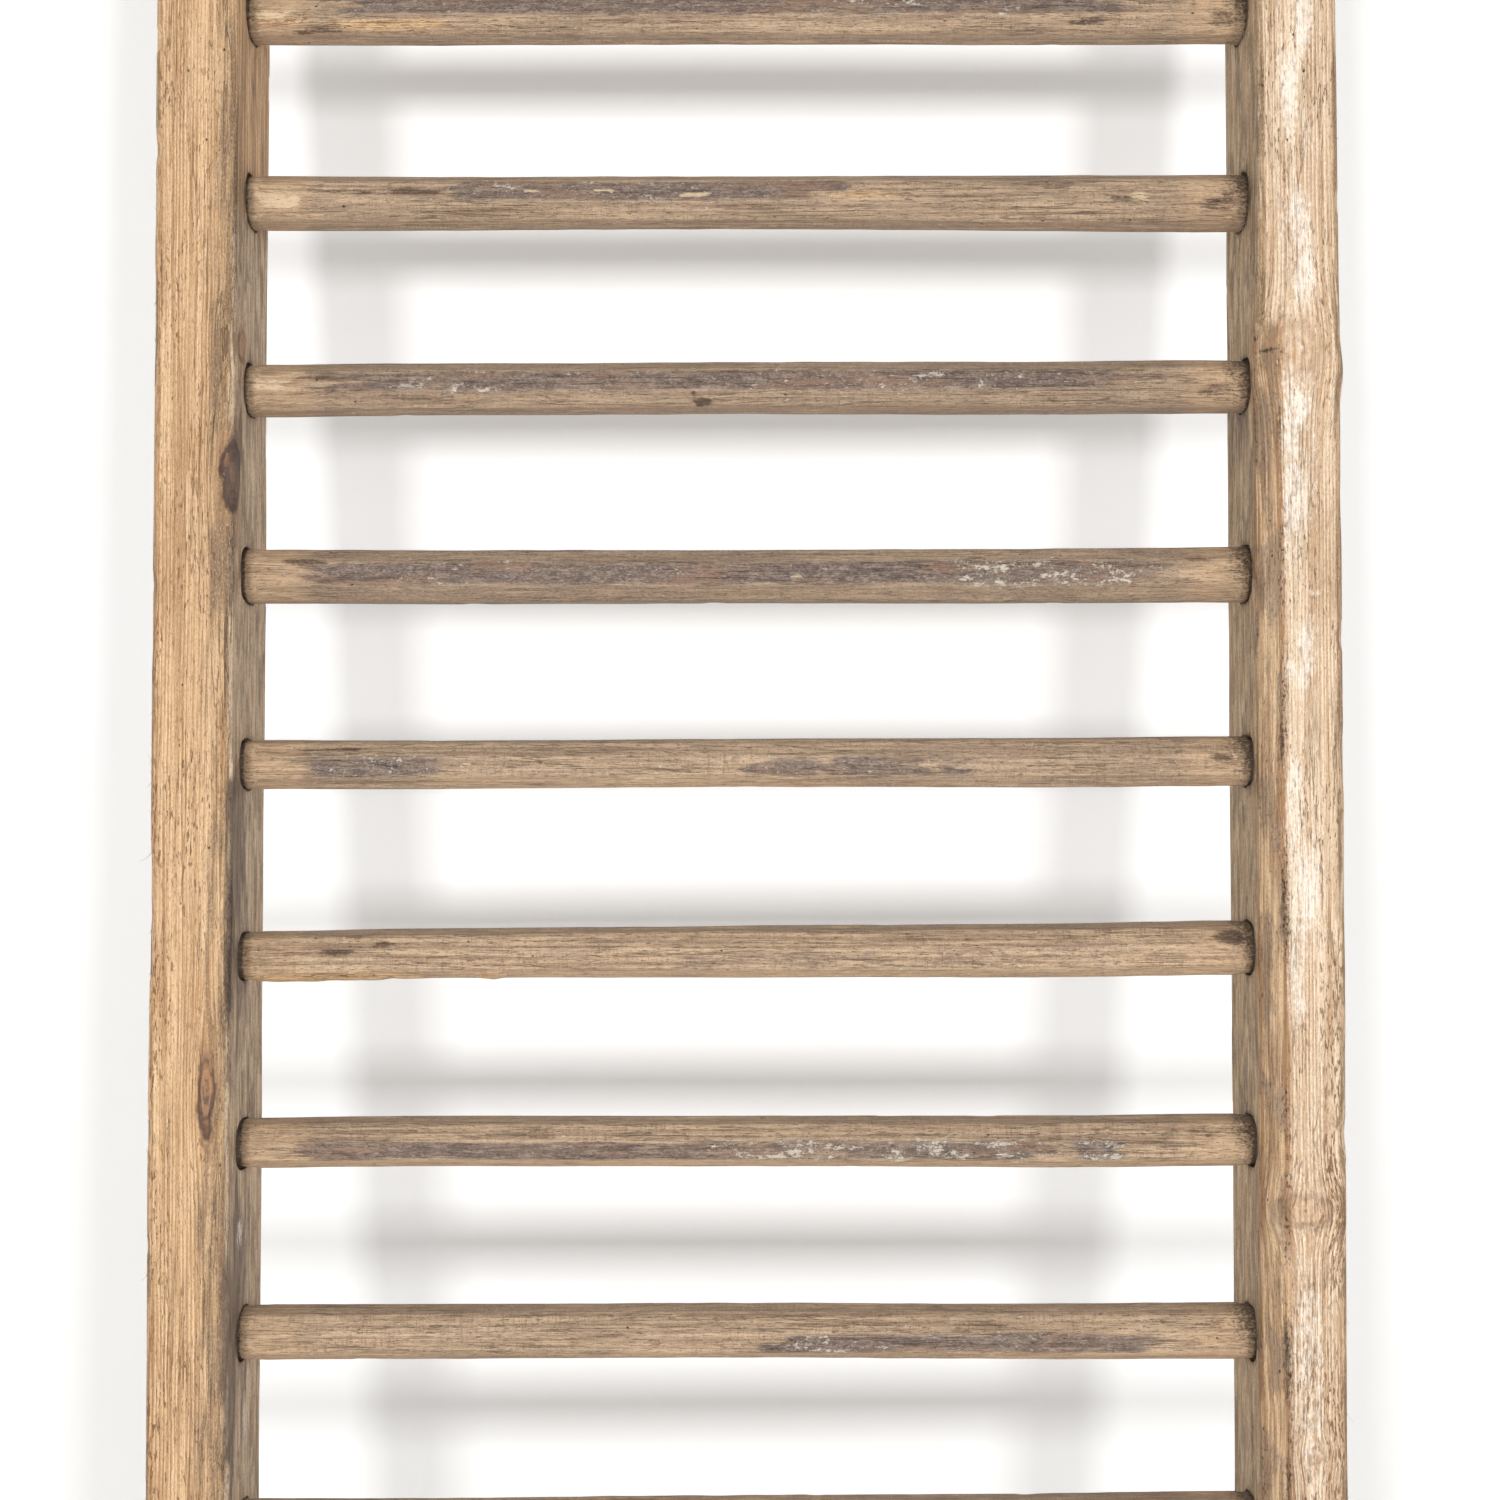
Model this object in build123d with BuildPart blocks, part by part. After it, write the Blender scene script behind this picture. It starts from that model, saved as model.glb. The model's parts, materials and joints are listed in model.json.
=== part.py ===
from build123d import *
import math
import os

# Stable hay rack: two softwood rails joined by hand-shaved oak rungs, standing on end.
# Frame: +Z up along the rails, +X to the right along the rungs, the front is -Y.
# Origin: on the ground, midway between the rails and midway through their depth.

# ---- Driving dimensions (mm) ----
RUNG_PITCH = 120.0
CLEAR_WIDTH = 635.0
END_LENGTH = 120.0

RAIL_WIDTH = 51.0
RAIL_DEPTH = 100.0
ARRIS_RADIUS = 4.0
WANE = 14.0
END_CHAMFER = 3.0

# A mortise is a straight hole with a mouth flared to take the rung's tapered shoulder.
MORTISE_DIAMETER = 31.0
MOUTH_DIAMETER = 39.0
MOUTH_DEPTH = 10.0
FIT_CLEARANCE = 0.05

RUNG_SIDES = 8
RUNG_CORNER_RADIUS = 5.0
SHOULDER_DIAMETER = 38.0

WEDGE_LENGTH = 24.0
WEDGE_HEAD = 5.0
WEDGE_TIP = 1.0
WEDGE_WIDTH = 26.0

PEG_DIAMETER = 10.0
PEG_SETBACK = 20.0

BOLT_DIAMETER = 12.0
BOLT_END_DISTANCE = 60.0

# How far a cut starts outside the face that it goes through.
OVERSHOOT = 4.0

# Each rung, from the bottom one up: (size across its flats, rise of its right end).
RUNGS = [
    (34.0, 1.0),
    (33.0, -2.0),
    (34.5, 2.0),
    (32.5, 0.0),
    (33.5, 4.0),
    (34.0, 1.0),
    (32.5, 2.0),
    (33.5, 6.0),
    (31.5, 2.5),
    (34.5, 1.5),
    (32.5, 3.0),
    (35.0, 0.0),
    (34.0, 0.5),
    (33.0, -1.5),
    (34.0, 2.0),
    (32.0, 3.0),
    (33.5, -1.0),
    (34.5, 1.0),
    (33.0, 0.5),
]

# ---- Sizes that follow ----
RUNG_COUNT = len(RUNGS)
RAIL_LENGTH = (RUNG_COUNT - 1) * RUNG_PITCH + 2 * END_LENGTH
INNER_X = CLEAR_WIDTH / 2
OUTER_X = INNER_X + RAIL_WIDTH
RAIL_X = INNER_X + RAIL_WIDTH / 2
FRONT_Y = -RAIL_DEPTH / 2
MORTISE_RADIUS = MORTISE_DIAMETER / 2
MOUTH_RADIUS = MOUTH_DIAMETER / 2
MOUTH_END = INNER_X + MOUTH_DEPTH
MOUTH_TAPER = (MOUTH_RADIUS - MORTISE_RADIUS) / MOUTH_DEPTH
TENON_RADIUS = MORTISE_RADIUS - FIT_CLEARANCE
SHOULDER_RADIUS = SHOULDER_DIAMETER / 2
BOLT_HEIGHTS = (BOLT_END_DISTANCE, RAIL_LENGTH - BOLT_END_DISTANCE)

SIDES = {"left": -1, "right": 1}
PEGGED_RUNGS = {"bottom": 0, "top": RUNG_COUNT - 1}


# ---- Places along a rung ----
def rung_direction(index, side):
    """Unit vector along a rung, from its middle towards one rail."""
    slope = math.atan2(RUNGS[index][1], 2 * RAIL_X)
    return Vector(math.cos(slope), 0, math.sin(slope)) * side


def rung_plane(index, side, distance):
    """Plane across a rung, this far from its middle, facing out towards one rail."""
    outward = rung_direction(index, side)
    middle = Vector(0, 0, END_LENGTH + index * RUNG_PITCH)
    return Plane(origin=middle + outward * distance, x_dir=(0, 1, 0), z_dir=outward)


def shaving_plane(index):
    """Upright plane through a rung's axis: X runs along the rung, Y up across it."""
    along = rung_direction(index, SIDES["right"])
    return Plane(origin=rung_plane(index, SIDES["right"], 0).origin, x_dir=along, z_dir=(0, -1, 0))


def wedge_plane(index, side):
    """Upright plane through a rung's axis: X runs into the tenon from the rail's outer face."""
    tenon_end = rung_plane(index, side, OUTER_X)
    return Plane(origin=tenon_end.origin, x_dir=-tenon_end.z_dir, z_dir=(0, 1, 0))


def peg_point(index, side):
    """Centre of a peg, seen from the front, on its rung's axis."""
    place = rung_plane(index, side, INNER_X + PEG_SETBACK).origin
    return (place.X, place.Z)


def shaving_outline():
    """Half outline that a rung is shaved to: full shaft, tapered shoulders, round tenons."""
    end = OUTER_X + OVERSHOOT
    right_half = [(INNER_X, SHOULDER_RADIUS), (MOUTH_END, TENON_RADIUS), (end, TENON_RADIUS), (end, 0)]
    left_half = [(-x, radius) for x, radius in reversed(right_half)]
    return left_half + right_half


def wedge_outline():
    """A wedge's outline, from just outside the tenon's end to its tip."""
    taper = (WEDGE_HEAD - WEDGE_TIP) / 2 / WEDGE_LENGTH
    head = WEDGE_HEAD / 2 + OVERSHOOT * taper
    tip = WEDGE_TIP / 2
    return [(-OVERSHOOT, head), (WEDGE_LENGTH, tip), (WEDGE_LENGTH, -tip), (-OVERSHOOT, -head)]


def saw_flush():
    """Cut the part being built flush with the rails' outer faces."""
    for side in SIDES.values():
        outer_face = Plane(origin=(side * OUTER_X, 0, 0), z_dir=(side, 0, 0))
        split(bisect_by=outer_face, keep=Keep.BOTTOM)


# ---- Rails ----
def make_rail(side, has_wane):
    """One rail on end: a worn plank section, through mortises, and bolt and peg holes."""
    inner_front = (side * INNER_X, FRONT_Y)
    with BuildPart() as rail:
        with BuildSketch(Plane.XY):
            with Locations((side * RAIL_X, 0)):
                Rectangle(RAIL_WIDTH, RAIL_DEPTH)
            if has_wane:
                chamfer(vertices().sort_by_distance(inner_front)[0], WANE)
            fillet(vertices().sort_by_distance(inner_front)[-3:], ARRIS_RADIUS)
        extrude(amount=RAIL_LENGTH)
        ends = rail.edges().group_by(Axis.Z)
        chamfer(ends[0] + ends[-1], END_CHAMFER)

        for index in range(RUNG_COUNT):
            with BuildSketch(rung_plane(index, side, INNER_X - OVERSHOOT)):
                Circle(MORTISE_RADIUS)
            extrude(amount=RAIL_WIDTH + 2 * OVERSHOOT, mode=Mode.SUBTRACT)
            with Locations(rung_plane(index, side, INNER_X - OVERSHOOT)):
                Cone(
                    bottom_radius=MOUTH_RADIUS + OVERSHOOT * MOUTH_TAPER,
                    top_radius=MORTISE_RADIUS,
                    height=MOUTH_DEPTH + OVERSHOOT,
                    align=(Align.CENTER, Align.CENTER, Align.MIN),
                    mode=Mode.SUBTRACT,
                )

        with BuildSketch(Plane.XZ):
            for height in BOLT_HEIGHTS:
                with Locations((side * RAIL_X, height)):
                    Circle(BOLT_DIAMETER / 2)
            for index in PEGGED_RUNGS.values():
                with Locations(peg_point(index, side)):
                    Circle(PEG_DIAMETER / 2)
        extrude(amount=RAIL_DEPTH, both=True, mode=Mode.SUBTRACT)
    return rail.part


# ---- Rungs ----
def make_rung(index):
    """One rung: an octagonal shaft, round tenons, and a kerf for a wedge in each tenon."""
    across_flats = RUNGS[index][0]
    middle_plane = rung_plane(index, SIDES["right"], 0)
    with BuildPart() as rung:
        with BuildSketch(middle_plane):
            RegularPolygon(across_flats / 2, RUNG_SIDES, major_radius=False, rotation=180 / RUNG_SIDES)
            fillet(vertices(), RUNG_CORNER_RADIUS)
        extrude(amount=OUTER_X + OVERSHOOT, both=True)
        with BuildSketch(shaving_plane(index)):
            Polygon(*shaving_outline(), align=None)
        revolve(axis=Axis(middle_plane.origin, middle_plane.z_dir), mode=Mode.INTERSECT)
        saw_flush()
        for side in SIDES.values():
            with BuildSketch(wedge_plane(index, side)):
                Polygon(*wedge_outline(), align=None)
            extrude(amount=MORTISE_RADIUS, both=True, mode=Mode.SUBTRACT)
        if index in PEGGED_RUNGS.values():
            with BuildSketch(Plane.XZ):
                with Locations(*[peg_point(index, side) for side in SIDES.values()]):
                    Circle(PEG_DIAMETER / 2)
            extrude(amount=RAIL_DEPTH, both=True, mode=Mode.SUBTRACT)
    return rung.part


# ---- Wedges and pegs ----
def make_wedges(side):
    """All the wedges of one rail, each filling the kerf of its own tenon."""
    with BuildPart() as wedges:
        for index in range(RUNG_COUNT):
            with BuildSketch(wedge_plane(index, side)):
                Polygon(*wedge_outline(), align=None)
            extrude(amount=WEDGE_WIDTH / 2, both=True)
        saw_flush()
    return wedges.part


def make_peg(index, side):
    """A round peg driven from the rail's front face, through a tenon, to its back face."""
    with BuildPart() as peg:
        with BuildSketch(Plane.XZ):
            with Locations(peg_point(index, side)):
                Circle(PEG_DIAMETER / 2 - FIT_CLEARANCE)
        extrude(amount=RAIL_DEPTH / 2, both=True)
    return peg.part


def write_node(part, name):
    """Name a finished piece and write it to its own file."""
    part.label = name
    export_step(part, f"parts/{name}.step")
    print(f"{name}: {len(part.solids())} solids, {part.volume / 1000:.1f} cm3")


# ---- Assembly ----
os.makedirs("parts", exist_ok=True)

write_node(make_rail(SIDES["left"], has_wane=False), "rail_left")
write_node(make_rail(SIDES["right"], has_wane=True), "rail_right")

for rung_index in range(RUNG_COUNT):
    write_node(make_rung(rung_index), f"rung_{rung_index + 1:02d}")

for side_name, side_sign in SIDES.items():
    write_node(make_wedges(side_sign), f"wedges_{side_name}")
    for end_name, end_index in PEGGED_RUNGS.items():
        write_node(make_peg(end_index, side_sign), f"peg_{end_name}_{side_name}")
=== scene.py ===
import json
import math

import bpy
import numpy as np
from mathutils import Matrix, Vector


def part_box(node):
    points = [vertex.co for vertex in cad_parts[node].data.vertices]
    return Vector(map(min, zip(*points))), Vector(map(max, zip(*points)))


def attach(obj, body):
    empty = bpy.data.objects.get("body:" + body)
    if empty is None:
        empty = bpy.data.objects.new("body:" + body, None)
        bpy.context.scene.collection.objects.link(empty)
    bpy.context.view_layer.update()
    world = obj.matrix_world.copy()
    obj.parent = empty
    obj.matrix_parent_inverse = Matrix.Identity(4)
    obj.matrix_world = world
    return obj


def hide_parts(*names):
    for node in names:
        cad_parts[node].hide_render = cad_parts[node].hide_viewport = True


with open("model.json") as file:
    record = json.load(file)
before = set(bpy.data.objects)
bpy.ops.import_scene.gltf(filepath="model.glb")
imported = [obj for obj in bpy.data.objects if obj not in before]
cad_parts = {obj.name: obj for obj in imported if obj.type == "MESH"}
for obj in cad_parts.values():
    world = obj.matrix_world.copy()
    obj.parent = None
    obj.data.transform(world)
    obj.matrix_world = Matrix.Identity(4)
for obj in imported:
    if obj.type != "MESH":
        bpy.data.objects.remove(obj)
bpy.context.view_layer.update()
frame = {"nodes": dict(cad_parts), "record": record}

# Looks for a stable hay rack: softwood rails on end, joined by hand-shaved oak rungs.
# All lengths are metres in the part's frame: +Z along the rails, +X to the right, front is -Y.

# ---- Sizes read from the part ----
RUNG_NODES = sorted(name for name in frame["nodes"] if name.startswith("rung_"))
PEG_NODES = sorted(name for name in frame["nodes"] if name.startswith("peg_"))
SIDES = {"left": -1, "right": 1}
MOUNTS = {mount["name"]: mount for mount in frame["record"]["mounts"]}

rail_low, rail_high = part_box("rail_right")
INNER = rail_low.x
OUTER = rail_high.x
WIDTH = OUTER - INNER
DEPTH = rail_high.y - rail_low.y
FRONT = rail_low.y
LENGTH = rail_high.z

BOLT_RADIUS = MOUNTS["wall_bolts"]["dims"]["hole_r_mm"] / 1000
BOLT_X = MOUNTS["wall_bolts"]["dims"]["spacing_x_mm"] / 2000
BOLT_RISE = MOUNTS["wall_bolts"]["dims"]["spacing_y_mm"] / 2000
BOLT_MIDDLE = MOUNTS["wall_bolts"]["pos_m"][2]
BOLT_HEIGHTS = (BOLT_MIDDLE - BOLT_RISE, BOLT_MIDDLE + BOLT_RISE)

# ---- Fit of the joints ----
TENON_RADIUS = 0.0152
MORTISE_RADIUS = 0.0157
MOUTH_FRONT = 0.0235
MOUTH_CLEARANCE = 0.0004
MOUTH_SPREAD = 0.0035
MOUTH_LENGTH = 0.0125
ROUNDING = 0.010
SHOULDER_START = INNER - 0.001
SHOULDER_END = INNER + 0.010
WEDGE_WIDTH = 0.026
WEDGE_LENGTH = 0.024
WEDGE_HEAD = 0.005
WEDGE_TIP = 0.001

# ---- Mesh fineness ----
RAIL_STEP = 0.003
RAIL_AROUND = 122
RUNG_STEP = 0.0026
RUNG_AROUND = 48
MORTISE_AROUND = 60
BOLT_AROUND = 40
WEDGE_AROUND = 32
PEG_AROUND = 36


# ---- Noise and small maths ----
def lattice(ix, iy, iz, seed):
    """A repeatable number from 0 to 1 for each point of a lattice."""
    mixed = (
        ix.astype(np.uint32) * np.uint32(374761393)
        + iy.astype(np.uint32) * np.uint32(668265263)
        + iz.astype(np.uint32) * np.uint32(2246822519)
        + np.uint32((seed * 3266489917) % 2**32)
    )
    mixed = (mixed ^ (mixed >> np.uint32(15))) * np.uint32(2654435761)
    mixed = (mixed ^ (mixed >> np.uint32(13))) * np.uint32(1274126177)
    mixed = mixed ^ (mixed >> np.uint32(16))
    return mixed.astype(np.float64) / 4294967295.0


def noise(points, size, seed):
    """Smooth noise from -1 to 1; its bumps are `size` long along x, y and z."""
    scaled = points / np.asarray(size, float)
    base = np.floor(scaled)
    part = scaled - base
    part = part * part * (3 - 2 * part)
    cell = base.astype(np.int64)
    total = np.zeros(scaled.shape[:-1])
    for dx in (0, 1):
        weight_x = part[..., 0] if dx else 1 - part[..., 0]
        for dy in (0, 1):
            weight_y = part[..., 1] if dy else 1 - part[..., 1]
            for dz in (0, 1):
                weight_z = part[..., 2] if dz else 1 - part[..., 2]
                value = lattice(cell[..., 0] + dx, cell[..., 1] + dy, cell[..., 2] + dz, seed)
                total += value * weight_x * weight_y * weight_z
    return total * 2 - 1


def chance(number, seed):
    """One repeatable number from 0 to 1."""
    return float(lattice(*np.full((3, 1), number), seed)[0])


def wander(length, size, seed):
    """Noise along one line only."""
    points = np.zeros(np.shape(length) + (3,))
    points[..., 0] = length
    return noise(points, (size, 1, 1), seed)


def ease(value, low, high):
    """0 below low, 1 above high, and smooth between them; high may be the smaller."""
    part = np.clip((value - low) / (high - low), 0, 1)
    return part * part * (3 - 2 * part)


def blob(points, centre, radii):
    """1 at a centre, falling to about 0 at twice its radii."""
    away = (points - np.asarray(centre)) / np.asarray(radii)
    return np.exp(-(away**2).sum(-1))


def squared(angle, power):
    """How far a rounded square reaches in a direction, beside a circle: 1 along its axes."""
    return (np.abs(np.cos(angle)) ** power + np.abs(np.sin(angle)) ** power) ** (-1 / power)


def all_round(count):
    """Evenly spaced angles round a circle."""
    return np.linspace(0, 2 * math.pi, count, endpoint=False)


def turn_about(across, up):
    """The angle of each point about a centre, as 0 to 1."""
    return (np.arctan2(up, across) / (2 * math.pi)) % 1.0


def span(value, low, high, edge):
    """1 between low and high, 0 outside, easing over `edge`."""
    return ease(value, low - edge, low + edge) * ease(value, high + edge, high - edge)


# ---- Mesh helpers ----
def closed_tube(name, rings):
    """A closed mesh through rings of points, with a fan over each end."""
    count, around, _ = rings.shape
    points = np.concatenate([rings.reshape(-1, 3), [rings[0].mean(0)], [rings[-1].mean(0)]])
    first, last = count * around, count * around + 1
    ring, place = np.meshgrid(np.arange(count - 1), np.arange(around), indexing="ij")
    after = (place + 1) % around
    quads = np.stack(
        [
            ring * around + place,
            ring * around + after,
            (ring + 1) * around + after,
            (ring + 1) * around + place,
        ],
        -1,
    ).reshape(-1, 4)
    step = np.arange(around)
    next_step = (step + 1) % around
    start_fan = np.stack([next_step, step, np.full(around, first)], -1)
    end_fan = np.stack([step + first - around, next_step + first - around, np.full(around, last)], -1)
    corners = points[quads]
    across = np.cross(corners[:, 2] - corners[:, 0], corners[:, 3] - corners[:, 1])
    outward = (corners.mean(1) - points[:first].mean(0)) * across
    if outward.sum() < 0:
        quads = quads[:, ::-1]
        start_fan = start_fan[:, ::-1]
        end_fan = end_fan[:, ::-1]
    mesh = bpy.data.meshes.new(name)
    mesh.from_pydata(points.tolist(), [], quads.tolist() + start_fan.tolist() + end_fan.tolist())
    mesh.update()
    return mesh


def joined(name, meshes):
    """One mesh out of several."""
    points, faces, base = [], [], 0
    for mesh in meshes:
        points += [tuple(v.co) for v in mesh.vertices]
        faces += [tuple(index + base for index in p.vertices) for p in mesh.polygons]
        base += len(mesh.vertices)
    whole = bpy.data.meshes.new(name)
    whole.from_pydata(points, [], faces)
    whole.update()
    return whole


def placed(name, mesh):
    """Puts a mesh in the scene."""
    piece = bpy.data.objects.new(name, mesh)
    bpy.context.scene.collection.objects.link(piece)
    return piece


def cut_away(mesh, cutters, name, skin, bore):
    """Cuts each cutter out of a mesh, names what is left and gives it materials.

    Faces left by cutter number n get material slot n + 1, which is bored wood."""
    for number, cutter_mesh in enumerate(cutters):
        for slot in range(len(cutters) + 1):
            if len(mesh.materials) <= slot:
                mesh.materials.append(None)
            cutter_mesh.materials.append(None)
        slots = np.full(len(cutter_mesh.polygons), number + 1, np.int32)
        cutter_mesh.polygons.foreach_set("material_index", slots)
        piece = placed("cut_piece", mesh)
        tool = placed("cut_tool", cutter_mesh)
        boolean = piece.modifiers.new("cut", "BOOLEAN")
        boolean.operation = "DIFFERENCE"
        boolean.solver = "MANIFOLD"
        boolean.object = tool
        bpy.context.view_layer.update()
        seen = piece.evaluated_get(bpy.context.evaluated_depsgraph_get())
        mesh = bpy.data.meshes.new_from_object(seen)
        bpy.data.objects.remove(piece)
        bpy.data.objects.remove(tool)
    mesh.name = name
    mesh.materials.clear()
    for material in (skin, bore, bore):
        mesh.materials.append(material)
    return mesh


def read_all(items, name, width=1, kind=np.int32):
    """One property of all of a mesh's vertices, corners or faces, as an array."""
    flat = np.empty(len(items) * width, kind)
    items.foreach_get(name, flat)
    return flat.reshape(-1, width) if width > 1 else flat


def vertex_points(mesh):
    return read_all(mesh.vertices, "co", 3, np.float32).astype(float)


def face_facts(mesh):
    """Each face's material slot, centre and normal."""
    slot = read_all(mesh.polygons, "material_index")
    return slot, *(read_all(mesh.polygons, name, 3, np.float32) for name in ("center", "normal"))


def paint(mesh, name, values):
    """Stores one number per vertex for the materials to read."""
    attribute = mesh.attributes.new(name, "FLOAT", "POINT")
    attribute.data.foreach_set("value", np.asarray(values, np.float32))


def finished(mesh, replaced=None, angle=40):
    """Places a piece that rides on the part's one body and stands for a CAD node."""
    mesh.shade_smooth()
    if replaced:
        mesh.set_sharp_from_angle(angle=math.radians(angle))
    piece = placed(mesh.name, mesh)
    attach(piece, "root")
    if replaced:
        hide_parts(replaced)


def unwrap(position, owner, girth):
    """Moves the corners of faces that cross the seam to its far side, so no face spans the map."""
    lowest = np.full(owner.max() + 1, np.inf)
    highest = np.full(owner.max() + 1, -np.inf)
    np.minimum.at(lowest, owner, position)
    np.maximum.at(highest, owner, position)
    crossing = (highest - lowest)[owner] > girth / 2
    return np.where(crossing & (position < girth / 2), position + girth, position)


def lay_out(mesh, across, girth, along, folds, loose, loose_across, loose_along):
    """The bake map: a long skin folded into strips side by side, and loose faces in a row of cells.

    across and along hold a vertex's place round and along the piece; loose holds each face's
    cell number or -1; loose_across and loose_along hold a vertex's place in its cell, 0 to 1."""
    gap = 0.004
    vertex = read_all(mesh.loops, "vertex_index")
    sizes = read_all(mesh.polygons, "loop_total")
    owner = np.repeat(np.arange(len(sizes)), sizes)
    start = along.min()
    strip = (along.max() - start) / folds
    reach = along[vertex] - start
    middle = np.bincount(owner, reach) / sizes
    fold = np.clip((middle / strip).astype(int), 0, folds - 1)[owner]
    map_x = gap + fold * (girth + 2 * gap) + unwrap(across[vertex], owner, girth)
    map_y = gap + reach - fold * strip
    wide = gap + folds * (girth + 2 * gap)
    tall = strip + 2 * gap
    cells = int(loose.max()) + 1
    room = wide - tall - gap
    columns = max(1, math.ceil(math.sqrt(cells * wide / max(room, 0.01))))
    cell = min(wide / columns, room / math.ceil(cells / columns)) if room > 0.01 else wide / columns
    number = loose[owner]
    inside_x = 0.08 + 0.8 * unwrap(loose_across[vertex], owner, 1.0)
    inside_y = 0.08 + 0.84 * loose_along[vertex]
    is_loose = number >= 0
    map_x = np.where(is_loose, (number % columns + inside_x) * cell, map_x)
    map_y = np.where(is_loose, tall + (number // columns + inside_y) * cell, map_y)
    whole = max(wide, tall + math.ceil(cells / columns) * cell)
    layer = mesh.uv_layers.new(name="OFBake")
    layer.data.foreach_set("uv", np.stack([map_x, map_y], -1).ravel().astype(np.float32) / whole)


# ---- Rungs' places ----
class RungAxis:
    """Where a rung runs: its two ends, its thickness and its height at any x."""

    def __init__(self, node):
        points = vertex_points(frame["nodes"][node].data)
        self.node = node
        self.number = int(node.split("_")[1])
        heights = []
        for end in (points[:, 0].min(), points[:, 0].max()):
            face = points[np.abs(points[:, 0] - end) < 1e-4]
            heights.append((face[:, 2].min() + face[:, 2].max()) / 2)
        self.left_height, self.right_height = heights
        low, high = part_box(node)
        self.look = RUNG_LOOKS[self.number]
        self.turn = math.radians(self.look["turn"])
        across = (high.y - low.y) * 1000
        self.silhouette = self.look.get("thick", (across - 0.6, across, across + 0.8))

    def height(self, x):
        share = (np.asarray(x) + OUTER) / (2 * OUTER)
        return self.left_height + share * (self.right_height - self.left_height)

    def half_across(self, x):
        """Half the distance between opposite facets, so that the turned octagon shows its true height."""
        share = math.cos(math.pi / 8 - abs(self.turn)) / math.cos(math.pi / 8)
        return np.interp(x, (-INNER, 0, INNER), self.silhouette) / 2000 / share

    def end_radius(self, sign):
        """Half the rung's height where it enters a rail."""
        return float(self.half_across(sign * INNER)) * 1.01

    def squareness(self, sign):
        """How square the rung is there: 2 is round, and 4 nearly square."""
        return 2.5 + 1.0 * chance(self.number, 60 + sign)


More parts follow.
